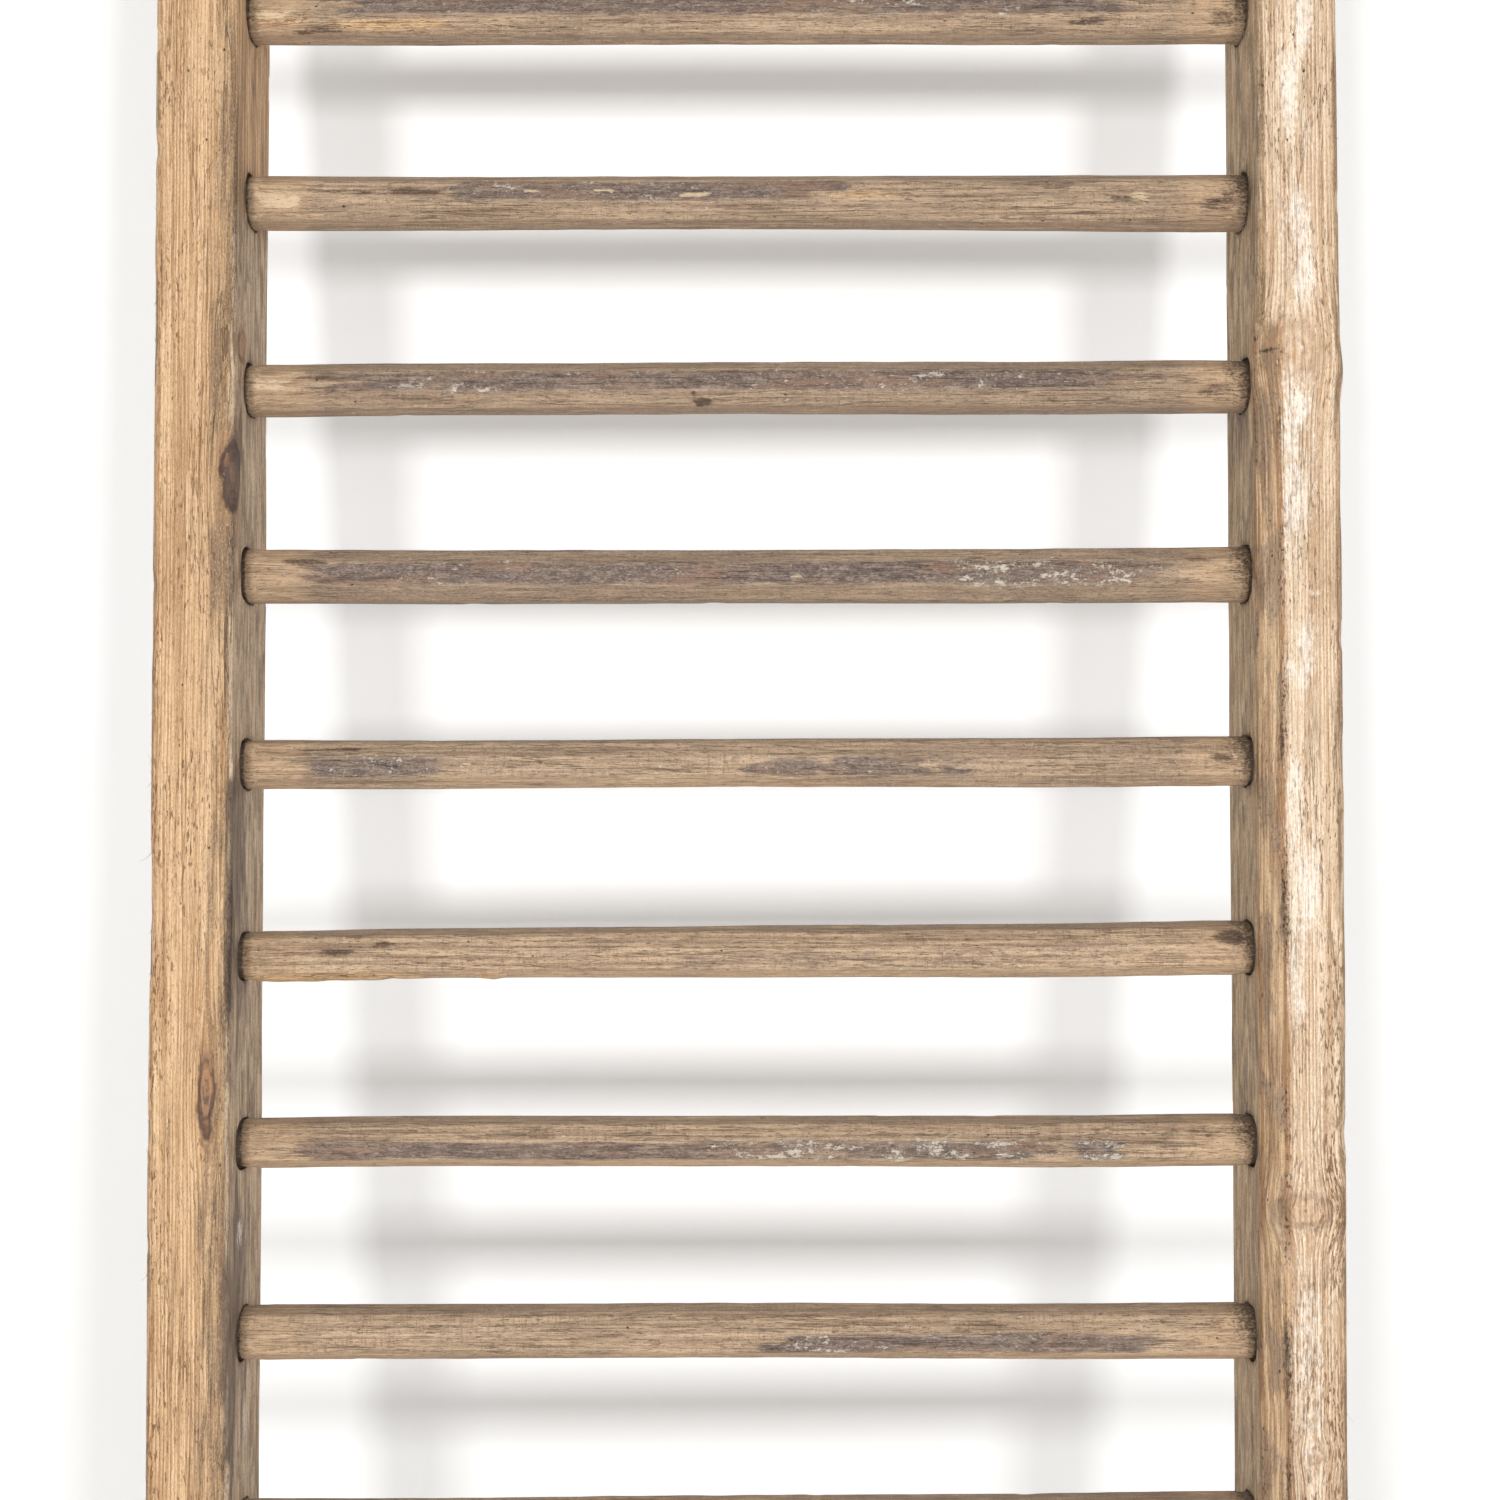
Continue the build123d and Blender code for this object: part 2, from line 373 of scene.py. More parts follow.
# How each rung is shaved and worn, from the bottom one up. Along x in metres, angles in degrees
# up from straight ahead. turn: where its front facet points. thick: height at left, middle, right.
# patina, flakes and tan are spans (from x, to x, strength): on the front facet, round it, below it.
# dull: how greyed the whole rung is.
# torn, spots and chips are patches (x, angle, half length, half angle, strength).
RUNG_LOOKS = {
    1: dict(turn=6, patina=[(-0.25, 0.20, 0.7)], flakes=[(-0.1, 0.1, 0.5)], tan=[(-0.2, 0.2, 0.5)]),
    2: dict(turn=-12, patina=[(-0.28, 0.05, 0.8), (0.12, 0.25, 0.7)], flakes=[(-0.2, 0.0, 0.6)]),
    3: dict(turn=9, patina=[(-0.18, 0.26, 0.9)], flakes=[(0.0, 0.2, 0.7)], tan=[(-0.25, 0.05, 0.6)]),
    4: dict(
        turn=-5, patina=[(-0.22, 0.15, 0.8)], flakes=[(-0.1, 0.1, 0.5)],
        torn=[(0.22, -60, 0.07, 25, 0.8)],
    ),
    5: dict(turn=-10, patina=[(-0.28, 0.28, 0.9)], flakes=[(-0.2, 0.2, 0.4)], tan=[(-0.1, 0.3, 0.5)]),
    6: dict(
        turn=-18, dull=0.20, thick=(34.5, 33.8, 35.1), patina=[(0.016, 0.255, 0.95)],
        flakes=[(0.02, 0.06, 1.0), (0.06, 0.20, 0.5)], tan=[(-0.31, -0.20, 0.7), (-0.10, 0.30, 0.5)],
        spots=[(0.143, 28, 0.022, 9, 0.7), (-0.20, 12, 0.05, 4, 0.4), (0.295, 30, 0.012, 14, 0.6)],
    ),
    7: dict(
        turn=-17, dull=0.22, thick=(32.0, 32.0, 33.2), patina=[(-0.285, 0.18, 0.9), (0.196, 0.233, 1.0)],
        flakes=[(-0.02, 0.18, 1.0), (0.196, 0.233, 1.0)], tan=[(-0.30, 0.30, 0.8)],
        spots=[(-0.24, 10, 0.03, 5, 0.5), (0.29, 28, 0.012, 14, 0.6)],
    ),
    8: dict(
        turn=-17, dull=0.08, thick=(31.3, 33.2, 35.1), patina=[(-0.05, 0.24, 0.42)],
        flakes=[(-0.05, 0.24, 0.3)], tan=[(-0.20, 0.30, 0.7)],
        torn=[(-0.266, -70, 0.058, 34, 1.0), (-0.162, -66, 0.009, 20, 0.9)],
        spots=[
            (-0.228, 30, 0.008, 12, 0.9), (-0.256, 8, 0.016, 9, 0.8), (0.190, -10, 0.010, 10, 0.5),
            (0.223, -8, 0.006, 9, 0.6), (0.303, 26, 0.012, 16, 0.9),
        ],
    ),
    9: dict(
        turn=-8, dull=0.40, thick=(32.0, 31.3, 32.6),
        patina=[(-0.285, -0.20, 0.95), (0.013, 0.040, 0.85), (0.046, 0.108, 0.95), (0.114, 0.139, 0.95)],
        flakes=[(-0.28, -0.20, 0.7), (-0.08, 0.15, 0.4)], tan=[(-0.20, 0.05, 0.7)],
        spots=[(-0.262, 38, 0.022, 8, 1.0), (-0.135, -5, 0.012, 12, 0.5), (0.297, 8, 0.008, 20, 0.7)],
        chips=[(-0.180, -5, 0.004, 4, 0.8), (-0.06, -38, 0.02, 5, 0.7), (0.03, -38, 0.03, 4, 0.6)],
    ),
    10: dict(
        turn=0, dull=0.80, thick=(33.8, 33.2, 35.1), patina=[(-0.275, 0.257, 1.0)],
        flakes=[(-0.22, -0.15, 0.6), (0.125, 0.22, 1.0), (0.215, 0.255, 1.0)],
        spots=[(-0.283, 25, 0.012, 10, 0.9), (-0.245, -12, 0.030, 8, 0.6), (0.29, 24, 0.012, 14, 0.6)],
        chips=[(-0.195, -10, 0.003, 4, 0.8), (0.03, -12, 0.004, 4, 0.8)],
    ),
    11: dict(
        turn=12, dull=0.62, thick=(33.5, 33.2, 33.8), patina=[(-0.27, 0.24, 0.95)],
        flakes=[(-0.22, -0.16, 0.9), (0.09, 0.12, 0.9), (-0.16, 0.20, 0.35)],
        spots=[
            (-0.272, 20, 0.018, 12, 0.7), (-0.035, -42, 0.007, 16, 1.0), (0.166, -38, 0.012, 5, 0.6),
            (0.195, -40, 0.006, 8, 0.6), (0.296, -16, 0.012, 20, 0.6), (-0.262, -8, 0.030, 9, 0.6),
            (-0.041, 0, 0.0016, 45, 0.7),
        ],
        chips=[(-0.303, 6, 0.013, 16, 0.75)],
    ),
    12: dict(
        turn=16, dull=0.40, thick=(35.0, 33.8, 37.0), patina=[(-0.18, 0.054, 0.95), (0.16, 0.20, 0.5)],
        flakes=[(-0.18, -0.02, 0.6)], torn=[(0.085, 4, 0.022, 7, 0.8)],
        spots=[
            (-0.250, 14, 0.028, 9, 0.65), (-0.210, 12, 0.022, 10, 0.95), (0.240, -2, 0.010, 12, 0.6),
            (0.30, -10, 0.010, 24, 0.7),
        ],
        chips=[
            (-0.301, -4, 0.017, 22, 0.8), (-0.135, 14, 0.006, 5, 1.0), (-0.092, 20, 0.008, 4, 1.0),
            (-0.032, 8, 0.010, 5, 1.0), (0.255, 2, 0.008, 9, 0.7),
        ],
    ),
    13: dict(
        turn=16, dull=0.35, thick=(32.4, 33.4, 32.4), patina=[(-0.27, 0.24, 0.95)],
        flakes=[(0.055, 0.10, 0.9), (0.14, 0.17, 0.9)],
        torn=[(-0.225, -29, 0.045, 13, 1.0), (-0.30, -22, 0.018, 12, 0.7)],
        spots=[(0.22, -24, 0.012, 14, 0.8), (-0.278, -44, 0.014, 8, 0.9), (0.30, -20, 0.010, 24, 0.7)],
        chips=[(-0.300, -8, 0.016, 16, 0.75)],
    ),
    14: dict(turn=4, patina=[(-0.20, 0.25, 0.9)], flakes=[(-0.1, 0.1, 0.6)]),
    15: dict(turn=-14, patina=[(-0.27, 0.02, 0.9)], flakes=[(-0.2, 0.0, 0.5)], tan=[(-0.1, 0.3, 0.6)]),
    16: dict(turn=10, patina=[(-0.10, 0.26, 0.95)], flakes=[(0.0, 0.2, 0.6)]),
    17: dict(
        turn=-6, patina=[(-0.25, 0.20, 0.8)], flakes=[(-0.1, 0.2, 0.5)],
        torn=[(0.12, -62, 0.06, 22, 0.8)],
    ),
    18: dict(turn=14, patina=[(-0.22, 0.22, 0.7)], flakes=[(-0.2, 0.2, 0.4)]),
    19: dict(turn=-3, patina=[(-0.18, 0.10, 0.6)], flakes=[(-0.1, 0.1, 0.3)], tan=[(-0.2, 0.2, 0.5)]),
}

AXES = [RungAxis(node) for node in RUNG_NODES]

# How crisp the ridges between a rung's facets are, and half of one facet's turn.
FACET_SHARPNESS = 56
HALF_FACET = 0.3927

# ---- Marks on the timber ----
# Places in a rail are (u, y, z), where u is measured from its inner face towards its outer face.
# Each knot: centre, radii, how far it swells, how dark it is.
KNOTS = {
    "left": [
        ((0.001, -0.031, 1.342), (0.008, 0.009, 0.011), 0.0006, 0.7),
        ((0.003, -0.043, 1.257), (0.0062, 0.010, 0.024), 0.0009, 0.9),
        ((0.0145, -0.050, 0.878), (0.0048, 0.012, 0.026), 0.0004, 0.8),
        ((0.036, -0.050, 1.985), (0.012, 0.014, 0.019), 0.0010, 0.6),
        ((0.050, 0.012, 1.620), (0.010, 0.013, 0.018), 0.0010, 0.7),
        ((0.030, 0.050, 1.130), (0.013, 0.010, 0.020), 0.0012, 0.6),
        ((0.052, -0.020, 0.420), (0.008, 0.010, 0.014), 0.0008, 0.8),
        ((0.012, -0.050, 0.300), (0.008, 0.010, 0.013), 0.0006, 0.8),
        ((0.022, 0.050, 0.560), (0.009, 0.010, 0.015), 0.0008, 0.8),
    ],
    "right": [
        ((0.022, -0.050, 1.336), (0.019, 0.022, 0.019), 0.0016, 0.14),
        ((0.026, -0.050, 0.804), (0.015, 0.016, 0.011), 0.0014, 0.30),
        ((0.030, -0.050, 0.655), (0.006, 0.010, 0.006), 0.0004, 0.35),
        ((0.034, -0.050, 2.060), (0.010, 0.012, 0.013), 0.0010, 0.6),
        ((0.052, 0.020, 1.910), (0.010, 0.013, 0.015), 0.0010, 0.7),
        ((0.052, -0.010, 0.960), (0.010, 0.014, 0.016), 0.0012, 0.6),
        ((0.028, 0.050, 1.510), (0.012, 0.010, 0.017), 0.0010, 0.7),
        ((0.020, 0.050, 0.700), (0.010, 0.010, 0.013), 0.0008, 0.8),
        ((0.018, -0.050, 0.240), (0.010, 0.012, 0.012), 0.0008, 0.7),
    ],
}

# Smears of old lime: centre, radii, strength.
SMEARS = {
    "left": [
        ((0, -0.016, 0.960), (0.01, 0.010, 0.024), 0.85),
        ((0, -0.014, 0.785), (0.01, 0.010, 0.012), 0.95),
        ((0, 0.002, 0.664), (0.01, 0.008, 0.017), 0.8),
        ((0, -0.020, 1.120), (0.01, 0.008, 0.010), 0.5),
        ((0, 0.010, 0.905), (0.01, 0.008, 0.008), 0.5),
        ((0.006, FRONT, 1.262), (0.002, 0.01, 0.006), 0.4),
    ],
    "right": [
        ((u, FRONT, z), (radius_u, 0.01, radius_z), 0.65 * strength)
        for u, z, radius_u, radius_z, strength in [
            (0.034, 1.184, 0.0022, 0.0022, 1.6), (0.025, 1.155, 0.0040, 0.0070, 1.2),
            (0.018, 1.137, 0.0032, 0.0060, 1.2), (0.026, 1.139, 0.0030, 0.0080, 0.9),
            (0.023, 1.127, 0.0040, 0.0090, 0.8), (0.021, 1.072, 0.0040, 0.0100, 0.9),
            (0.027, 1.000, 0.0070, 0.0220, 0.6), (0.020, 1.205, 0.0050, 0.0160, 0.9),
            (0.024, 1.240, 0.0060, 0.0180, 0.9), (0.018, 1.285, 0.0040, 0.0120, 1.0),
            (0.028, 1.300, 0.0050, 0.0100, 0.9), (0.030, 1.380, 0.0070, 0.0150, 0.9),
            (0.024, 1.425, 0.0060, 0.0220, 0.9), (0.032, 1.470, 0.0050, 0.0200, 0.8),
            (0.020, 1.500, 0.0080, 0.0300, 0.8), (0.028, 1.545, 0.0070, 0.0250, 0.7),
            (0.024, 1.640, 0.0080, 0.0400, 0.8), (0.028, 1.880, 0.0080, 0.0500, 0.7),
            (0.022, 0.930, 0.0060, 0.0200, 0.6), (0.026, 0.740, 0.0070, 0.0250, 0.5),
            (0.024, 0.440, 0.0070, 0.0300, 0.5),
        ]
    ],
}

# Where the pith lies, as (u, y); the growth rings curve round it.
PITH = {"left": (-0.090, -0.010), "right": (-0.100, 0.000)}
SEED = {"left": 11, "right": 47}

# The right rail's inner front arris is a broad flat, the wane, that fades out at these heights.
WANE_END = (1.372, 1.345)
WANE_WIDTH = 0.0140

# How far in from an arris a point stops and starts belonging wholly to a face.
FACE_EDGE = (0.007, 0.0015)


# ---- Rails ----
def plank_section(count):
    """Evenly spaced points round a plank's section from its outer back arris, and which way is out."""
    radius = 0.004
    corners = [
        ((radius, DEPTH / 2 - radius), 90),
        ((radius, -DEPTH / 2 + radius), 180),
        ((WIDTH - radius, -DEPTH / 2 + radius), 270),
        ((WIDTH - radius, DEPTH / 2 - radius), 360),
    ]
    outline = []
    for (centre_u, centre_y), first_angle in corners:
        for turn in np.linspace(0, 90, 9):
            angle = math.radians(first_angle + turn)
            out = (math.cos(angle), math.sin(angle))
            outline.append((centre_u + radius * out[0], centre_y + radius * out[1], *out))
    outline = np.array(outline + outline[:1])
    run = np.concatenate([[0], np.cumsum(np.hypot(*np.diff(outline[:, :2], axis=0).T))])
    at = np.arange(count) / count * run[-1]
    section = np.stack([np.interp(at, run, outline[:, k]) for k in range(4)], -1)
    section[:, 2:] /= np.linalg.norm(section[:, 2:], axis=1, keepdims=True)
    return section


def knot_distance(local, side):
    """How far each point is from the nearest knot: 1 at its edge. Also that knot's darkness."""
    nearest = np.full(local.shape[:-1], 9.0)
    darkness = np.zeros(local.shape[:-1])
    for number, (at, size, _, dark) in enumerate(KNOTS[side]):
        away = (local - np.array(at)) / np.array(size)
        far = np.sqrt((away**2).sum(-1))
        far *= 1 + 0.14 * noise(local, (0.008, 0.008, 0.010), 300 + number)
        darkness = np.where(far < nearest, dark, darkness)
        nearest = np.minimum(nearest, far)
    return nearest, darkness


def plane_off(points, corner, direction, depth):
    """Takes off what stands beyond a slanting plane, `depth` inside a corner."""
    beyond = (points[..., 0] - corner[0]) * direction[0] + (points[..., 1] - corner[1]) * direction[1]
    beyond = np.clip(beyond + depth, 0, None) * 0.94
    points[..., 0] -= beyond * direction[0]
    points[..., 1] -= beyond * direction[1]


def rail_rings(side):
    """A rail's skin as rings of (u, y, z) points: uneven faces, worn arrises, swollen knots."""
    seed = SEED[side]
    section = plank_section(RAIL_AROUND)
    end_steps = np.array([0, 0.0007, 0.0016, 0.003])
    middle = np.linspace(0.005, LENGTH - 0.005, int(LENGTH / RAIL_STEP))
    heights = np.concatenate([end_steps, middle, LENGTH - end_steps[::-1]])
    points = np.empty((len(heights), RAIL_AROUND, 3))
    points[..., 0] = section[:, 0]
    points[..., 1] = section[:, 1]
    points[..., 2] = heights[:, None]
    z = points[..., 2]
    from_end = np.minimum(z, LENGTH - z)

    push = -0.003 * np.clip(1 - from_end / 0.003, 0, 1)
    push -= 0.0004
    push += 0.0006 * noise(points, (0.05, 0.06, 0.17), seed + 1)
    push += 0.0003 * noise(points, (0.011, 0.011, 0.05), seed + 2)
    push += 0.00022 * noise(points, (0.005, 0.005, 0.11), seed + 3)
    for at, size, swell, _ in KNOTS[side]:
        push += swell * blob(points, at, np.array(size) * 1.3)
    if side == "right":
        push += 0.0022 * blob(points, (WIDTH, -0.045, 1.322), (0.012, 0.03, 0.016))
    points[..., 0] += section[:, 2] * push
    points[..., 1] += section[:, 3] * push

    slant = math.sqrt(0.5)
    arrises = [
        ((0, -DEPTH / 2), (-slant, -slant), 0.0026, 0.0017, 0.0016),
        ((WIDTH, -DEPTH / 2), (slant, -slant), 0.0021, 0.0010, 0.0010),
        ((0, DEPTH / 2), (-slant, slant), 0.0016, 0.0009, 0.0008),
        ((WIDTH, DEPTH / 2), (slant, slant), 0.0020, 0.0010, 0.0009),
    ]
    for number, (corner, direction, depth, slow, quick) in enumerate(arrises):
        wear = depth + slow * wander(z, 0.09, seed + 10 + number)
        wear += quick * noise(points, (0.01, 0.01, 0.017), seed + 20 + number)
        wear += 0.007 * np.clip(wander(z, 0.034, seed + 30 + number) - 0.62, 0, None)
        plane_off(points, corner, direction, wear)
    if side == "right":
        wane = 0.0100 + 0.0011 * wander(z, 0.13, 71) + 0.0006 * noise(points, (0.012, 0.012, 0.02), 72)
        wane *= ease(z, *WANE_END) * (0.55 + 0.45 * ease(z, 0.12, 0.5))
        plane_off(points, arrises[0][0], arrises[0][1], wane)
    points[..., 0] = np.clip(points[..., 0], -0.004, WIDTH + 0.004)
    return points


def mortise_tool(axis, side):
    """The tool for one mortise: a straight hole whose uneven mouth gapes towards the front."""
    sign = SIDES[side]
    angle = all_round(MORTISE_AROUND)
    mouth_height = axis.end_radius(sign) + MOUTH_CLEARANCE
    mouth_front = MOUTH_FRONT + MOUTH_SPREAD * (2 * chance(axis.number, 80 + sign) - 1)
    mouth_depth = np.where(np.cos(angle) < 0, mouth_front, mouth_height + 0.0004)
    stations = [-0.006, 0.0, 0.002, 0.004, 0.006, 0.0085, 0.0105, MOUTH_LENGTH, 0.03, 0.05, 0.0525, 0.060]
    rings = []
    for inwards in stations:
        flare = ease(max(inwards, 0.0), MOUTH_LENGTH, 0.0)
        breakout = ease(inwards, 0.048, 0.0515)
        place = np.zeros((MORTISE_AROUND, 3))
        place[:, 0] = np.cos(angle) * 0.02 + axis.number
        place[:, 1] = np.sin(angle) * 0.02
        roughness = 0.008 + 0.030 * flare + 0.02 * breakout
        rough = 1 + roughness * (1 + noise(place, (0.006, 0.006, 1), 90 + sign))
        rough *= squared(angle, 2 + flare * (axis.squareness(sign) - 1.7))
        half_depth = MORTISE_RADIUS + (mouth_depth - MORTISE_RADIUS) * flare + 0.0006 * breakout
        half_height = MORTISE_RADIUS + (mouth_height - MORTISE_RADIUS) * flare + 0.0004 * breakout
        x = INNER + inwards
        ring = np.empty((MORTISE_AROUND, 3))
        ring[:, 0] = sign * x
        ring[:, 1] = np.cos(angle) * half_depth * rough
        ring[:, 2] = axis.height(sign * x) + np.sin(angle) * half_height * rough
        rings.append(ring)
    return closed_tube("mortise_tool", np.array(rings))


def round_tool(x, z, radius, reach):
    """A round bar along y, for bolt and peg holes."""
    angle = all_round(BOLT_AROUND)
    across, up = x + radius * np.cos(angle), z + radius * np.sin(angle)
    rings = [np.stack([across, np.full(BOLT_AROUND, y), up], -1) for y in np.linspace(-reach, reach, 9)]
    return closed_tube("round_tool", np.array(rings))


def peg_places(sign):
    """Centres (x, z) of the pegs through one rail."""
    places = []
    for node in PEG_NODES:
        low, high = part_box(node)
        if (low.x + high.x) * sign > 0:
            places.append(((low.x + high.x) / 2, (low.z + high.z) / 2, (high.x - low.x) / 2))
    return places


def rail_faces(local):
    """How much each point belongs to its rail's inner, front, outer and back face."""
    u, y, _ = local.T
    return [ease(gap, *FACE_EDGE) for gap in (u, y - FRONT, WIDTH - u, -FRONT - y)]


def paint_grain(mesh, local, side):
    """Growth rings that curve round the pith, wander along the plank and part round each knot."""
    seed = SEED[side]
    u, y, _ = local.T
    bent_u, bent_y = u.copy(), y.copy()
    for at, size, _, dark in KNOTS[side]:
        bend = 0.85 * math.sqrt(dark) * blob(local, at, np.array(size) * (1.8, 1.8, 1.9))
        bent_u -= (u - at[0]) * bend
        bent_y -= (y - at[1]) * bend
    pith_u, pith_y = PITH[side]
    inner_arris = ease(u, 0.026, 0.010) if side == "left" else 0.0
    ring = np.hypot(bent_u - pith_u, bent_y - pith_y)
    ring += 0.0030 * noise(local, (0.06, 0.06, 0.50), seed + 40)
    ring += (0.0010 + 0.0010 * inner_arris) * noise(local, (0.03, 0.03, 0.12), seed + 41)
    ring += (0.0004 + 0.0006 * inner_arris) * noise(local, (0.009, 0.009, 0.030), seed + 42)
    paint(mesh, "ring", ring * 1000)
    sway = 0.0010 * noise(local, (0.04, 0.04, 0.15), seed + 43)
    paint(mesh, "grain_u", bent_u + sway)
    paint(mesh, "grain_y", bent_y - sway)
    far, dark = knot_distance(local, side)
    paint(mesh, "knot", np.clip(far, 0, 4))
    paint(mesh, "knot_dark", dark)


def mortise_dirt_and_painted_shade(local, side):
    """Dirt and painted contact shade round each mortise's mouth, stronger towards the front; a dirt smear
    below it, and a dark rim round each tenon's end.
    """
    sign = SIDES[side]
    _, y, z = local.T
    on_inner, _, on_outer, _ = rail_faces(local)
    reach = 0.0050 if side == "left" else 0.0072
    ahead = ease(y, 0.02, -0.02) * 0.4 + 0.6
    dirt = np.zeros(len(y))
    for axis in AXES:
        height = axis.height(sign * INNER)
        half_height = axis.end_radius(sign) + MOUTH_CLEARANCE
        half_depth = np.where(y < 0, MOUTH_FRONT, half_height)
        beyond = (np.hypot(y / half_depth, (z - height) / half_height) - 1) * 0.019
        smear = blob(local, (0, -0.012, height - 0.030), (0.01, 0.022, 0.022))
        rim = (np.hypot(y, z - axis.height(sign * OUTER)) - MORTISE_RADIUS) / 0.004
        # Painted contact shade with dirt on the inner face round the mouth; a dirt smear below it; a dark
        # rim round the tenon on the outer face.
        for layer in (
            on_inner * np.exp(-np.clip(beyond, 0, None) / reach) * ahead,
            0.42 * smear * (wander(z, 0.12, SEED[side] + 51) * 0.5 + 0.5),
            on_outer * 0.75 * np.exp(-np.clip(rim, 0, None)),
        ):
            dirt = np.maximum(dirt, layer)
    return dirt


def rail_dirt_and_painted_shade(local, side):
    """All the dirt on a rail, and the painted shade round its mortises: round its mortises, along its worn
    inner front arris, at its foot.
    """
    seed = SEED[side]
    u, y, z = local.T
    dirt = mortise_dirt_and_painted_shade(local, side)
    if side == "left":
        arris = np.exp(-(((u - 0.002) ** 2 + (y - FRONT - 0.004) ** 2) / 0.0055**2))
        patchy = 0.30 + 0.5 * span(z, 0.93, 1.07, 0.03) + 0.35 * wander(z, 0.07, seed + 53)
        dirt = np.maximum(dirt, arris * np.clip(patchy, 0, 1))
    else:
        edge = np.exp(-((np.hypot(u - 0.0135, y - FRONT) / 0.0045) ** 2)) * ease(z, 1.38, 1.33)
        patchy = 0.42 + 0.5 * noise(local, (0.006, 0.006, 0.028), seed + 54)
        dirt = np.maximum(dirt, edge * np.clip(patchy, 0, 1))
        upper = np.exp(-((np.hypot(u - 0.001, y - FRONT - 0.002) / 0.006) ** 2)) * ease(z, 1.33, 1.38)
        dirt = np.maximum(dirt, upper * np.clip(0.35 + 0.4 * wander(z, 0.05, seed + 55), 0, 1))
        crack = blob(local, (0.006, FRONT + 0.006, 1.3355), (0.011, 0.012, 0.0016))
        dirt = np.maximum(dirt, crack * 1.1)
    foot = ease(z, 0.10, 0.0) * 0.5
    return np.maximum(dirt, foot * (0.6 + 0.4 * noise(local, (0.02, 0.02, 0.04), seed + 56)))


def rail_grey(local, side):
    """Greyed faces: the sides between the rungs, and less so the back and the outer faces."""
    u, _, z = local.T
    on_inner, on_front, on_outer, on_back = rail_faces(local)
    grey = np.maximum(np.maximum(1.2 * on_inner, 0.45 * on_outer), 0.62 * on_back)
    if side == "left":
        browned = 0.74 + 0.35 * wander(z, 0.07, SEED[side] + 57) + 0.25 * ease(z, 1.15, 0.90)
        grey = grey - 0.80 * on_inner * span(z, 1.44, 1.66, 0.04)
        grey = np.maximum(grey, on_front * ease(u, 0.028, 0.004) * np.clip(browned, 0, 0.94))
    else:
        fresh = on_inner * blob(local, (0, 0.044, 1.16), (0.01, 0.0075, 0.03)) * 1.6
        grey = grey - np.clip(fresh, 0, 1) * 0.9
        grey = grey - 0.35 * on_inner * blob(local, (0, 0.042, 0.88), (0.01, 0.006, 0.05))
        grey = np.maximum(grey, 0.75 * on_front * ease(u, WIDTH - 0.008, WIDTH - 0.002))
    return np.clip(grey, 0, 1.2)


def rail_wane(local):
    """The planed-looking wane, and its two edges."""
    u, y, z = local.T
    behind = y - FRONT
    flat = ease(np.abs(u + behind - WANE_WIDTH), 0.0042, 0.0014)
    flat *= ease(np.abs(u - behind), 0.0175, 0.0130)
    edges = np.exp(-((np.hypot(u - WANE_WIDTH, behind) / 0.0021) ** 2))
    edges += np.exp(-((np.hypot(u, behind - WANE_WIDTH) / 0.0021) ** 2))
    return flat * ease(z, *WANE_END), edges * ease(z, *WANE_END)


def rail_stain(local, side):
    """Dark stains on the inner face and along the left rail's arris."""
    _, y, z = local.T
    on_inner = rail_faces(local)[0]
    stain = 0.45 * np.clip(noise(local, (0.04, 0.05, 0.13), SEED[side] + 60) - 0.1, 0, 1) * on_inner
    if side == "left":
        stain += 0.65 * on_inner * span(z, 0.93, 1.075, 0.02) * ease(y, 0.02, -0.02)
        stain += 0.5 * on_inner * span(z, 1.235, 1.33, 0.02) * ease(y, 0.0, -0.035)
        stain += 0.4 * on_inner * span(z, 0.66, 0.80, 0.03) * ease(y, 0.03, -0.01)
        by_arris = on_inner * ease(y, FRONT + 0.040, FRONT + 0.006) * ease(z, 1.16, 1.05)
        blotchy = 0.45 + 0.6 * noise(local, (0.02, 0.02, 0.06), SEED[side] + 62)
        stain += 0.9 * by_arris * np.clip(blotchy, 0, 1)
        stain += 0.5 * blob(local, (0.003, -0.046, 1.256), (0.0045, 0.012, 0.018))
    else:
        stain += on_inner * (0.25 * span(z, 1.25, 1.33, 0.03) + 0.30 * span(z, 0.84, 0.94, 0.04))
    return np.clip(stain, 0, 1)


def rail_wash(local, side):
    """Pale smears of old lime, and a thin haze of it down the right rail's front."""
    u, _, z = local.T
    wash = np.zeros(len(u))
    for centre, radii, strength in SMEARS[side]:
        wash += strength * blob(local, centre, radii)
    if side == "right":
        haze = rail_faces(local)[1] * span(u, 0.013, 0.037, 0.004) * (0.75 + 0.25 * ease(z, 0.82, 0.98))
        uneven = 0.62 + 0.6 * noise(local, (0.010, 0.010, 0.05), SEED[side] + 61)
        wash += 0.80 * haze * np.clip(uneven, 0, 1)
    return np.clip(wash, 0, 1)


def rail_marks(mesh, side):
    """Numbers that steer the rail's material: growth rings, knots, dirt with painted shade round the
    mortises, limewash, stains, greying.
    """
    local = vertex_points(mesh)
    local[:, 0] = local[:, 0] * SIDES[side] - INNER
    u, _, z = local.T
    on_front = rail_faces(local)[1]
    furred = on_front * ease(u, WIDTH - 0.010, WIDTH - 0.001)
    weathered = 0.3 * furred + 0.8 * on_front * ease(z, 1.02, 0.86) * ease(u, 0.018, 0.024)
    wane, wane_edges = rail_wane(local) if side == "right" else (0 * z, 0 * z)

    paint_grain(mesh, local, side)
    paint(mesh, "dirt", rail_dirt_and_painted_shade(local, side))
    paint(mesh, "grey", rail_grey(local, side))
    paint(mesh, "wane", wane)
    paint(mesh, "wane_edge", wane_edges)
    paint(mesh, "fuzz", weathered if side == "right" else furred)
    paint(mesh, "stain", rail_stain(local, side))
    paint(mesh, "wash", rail_wash(local, side))


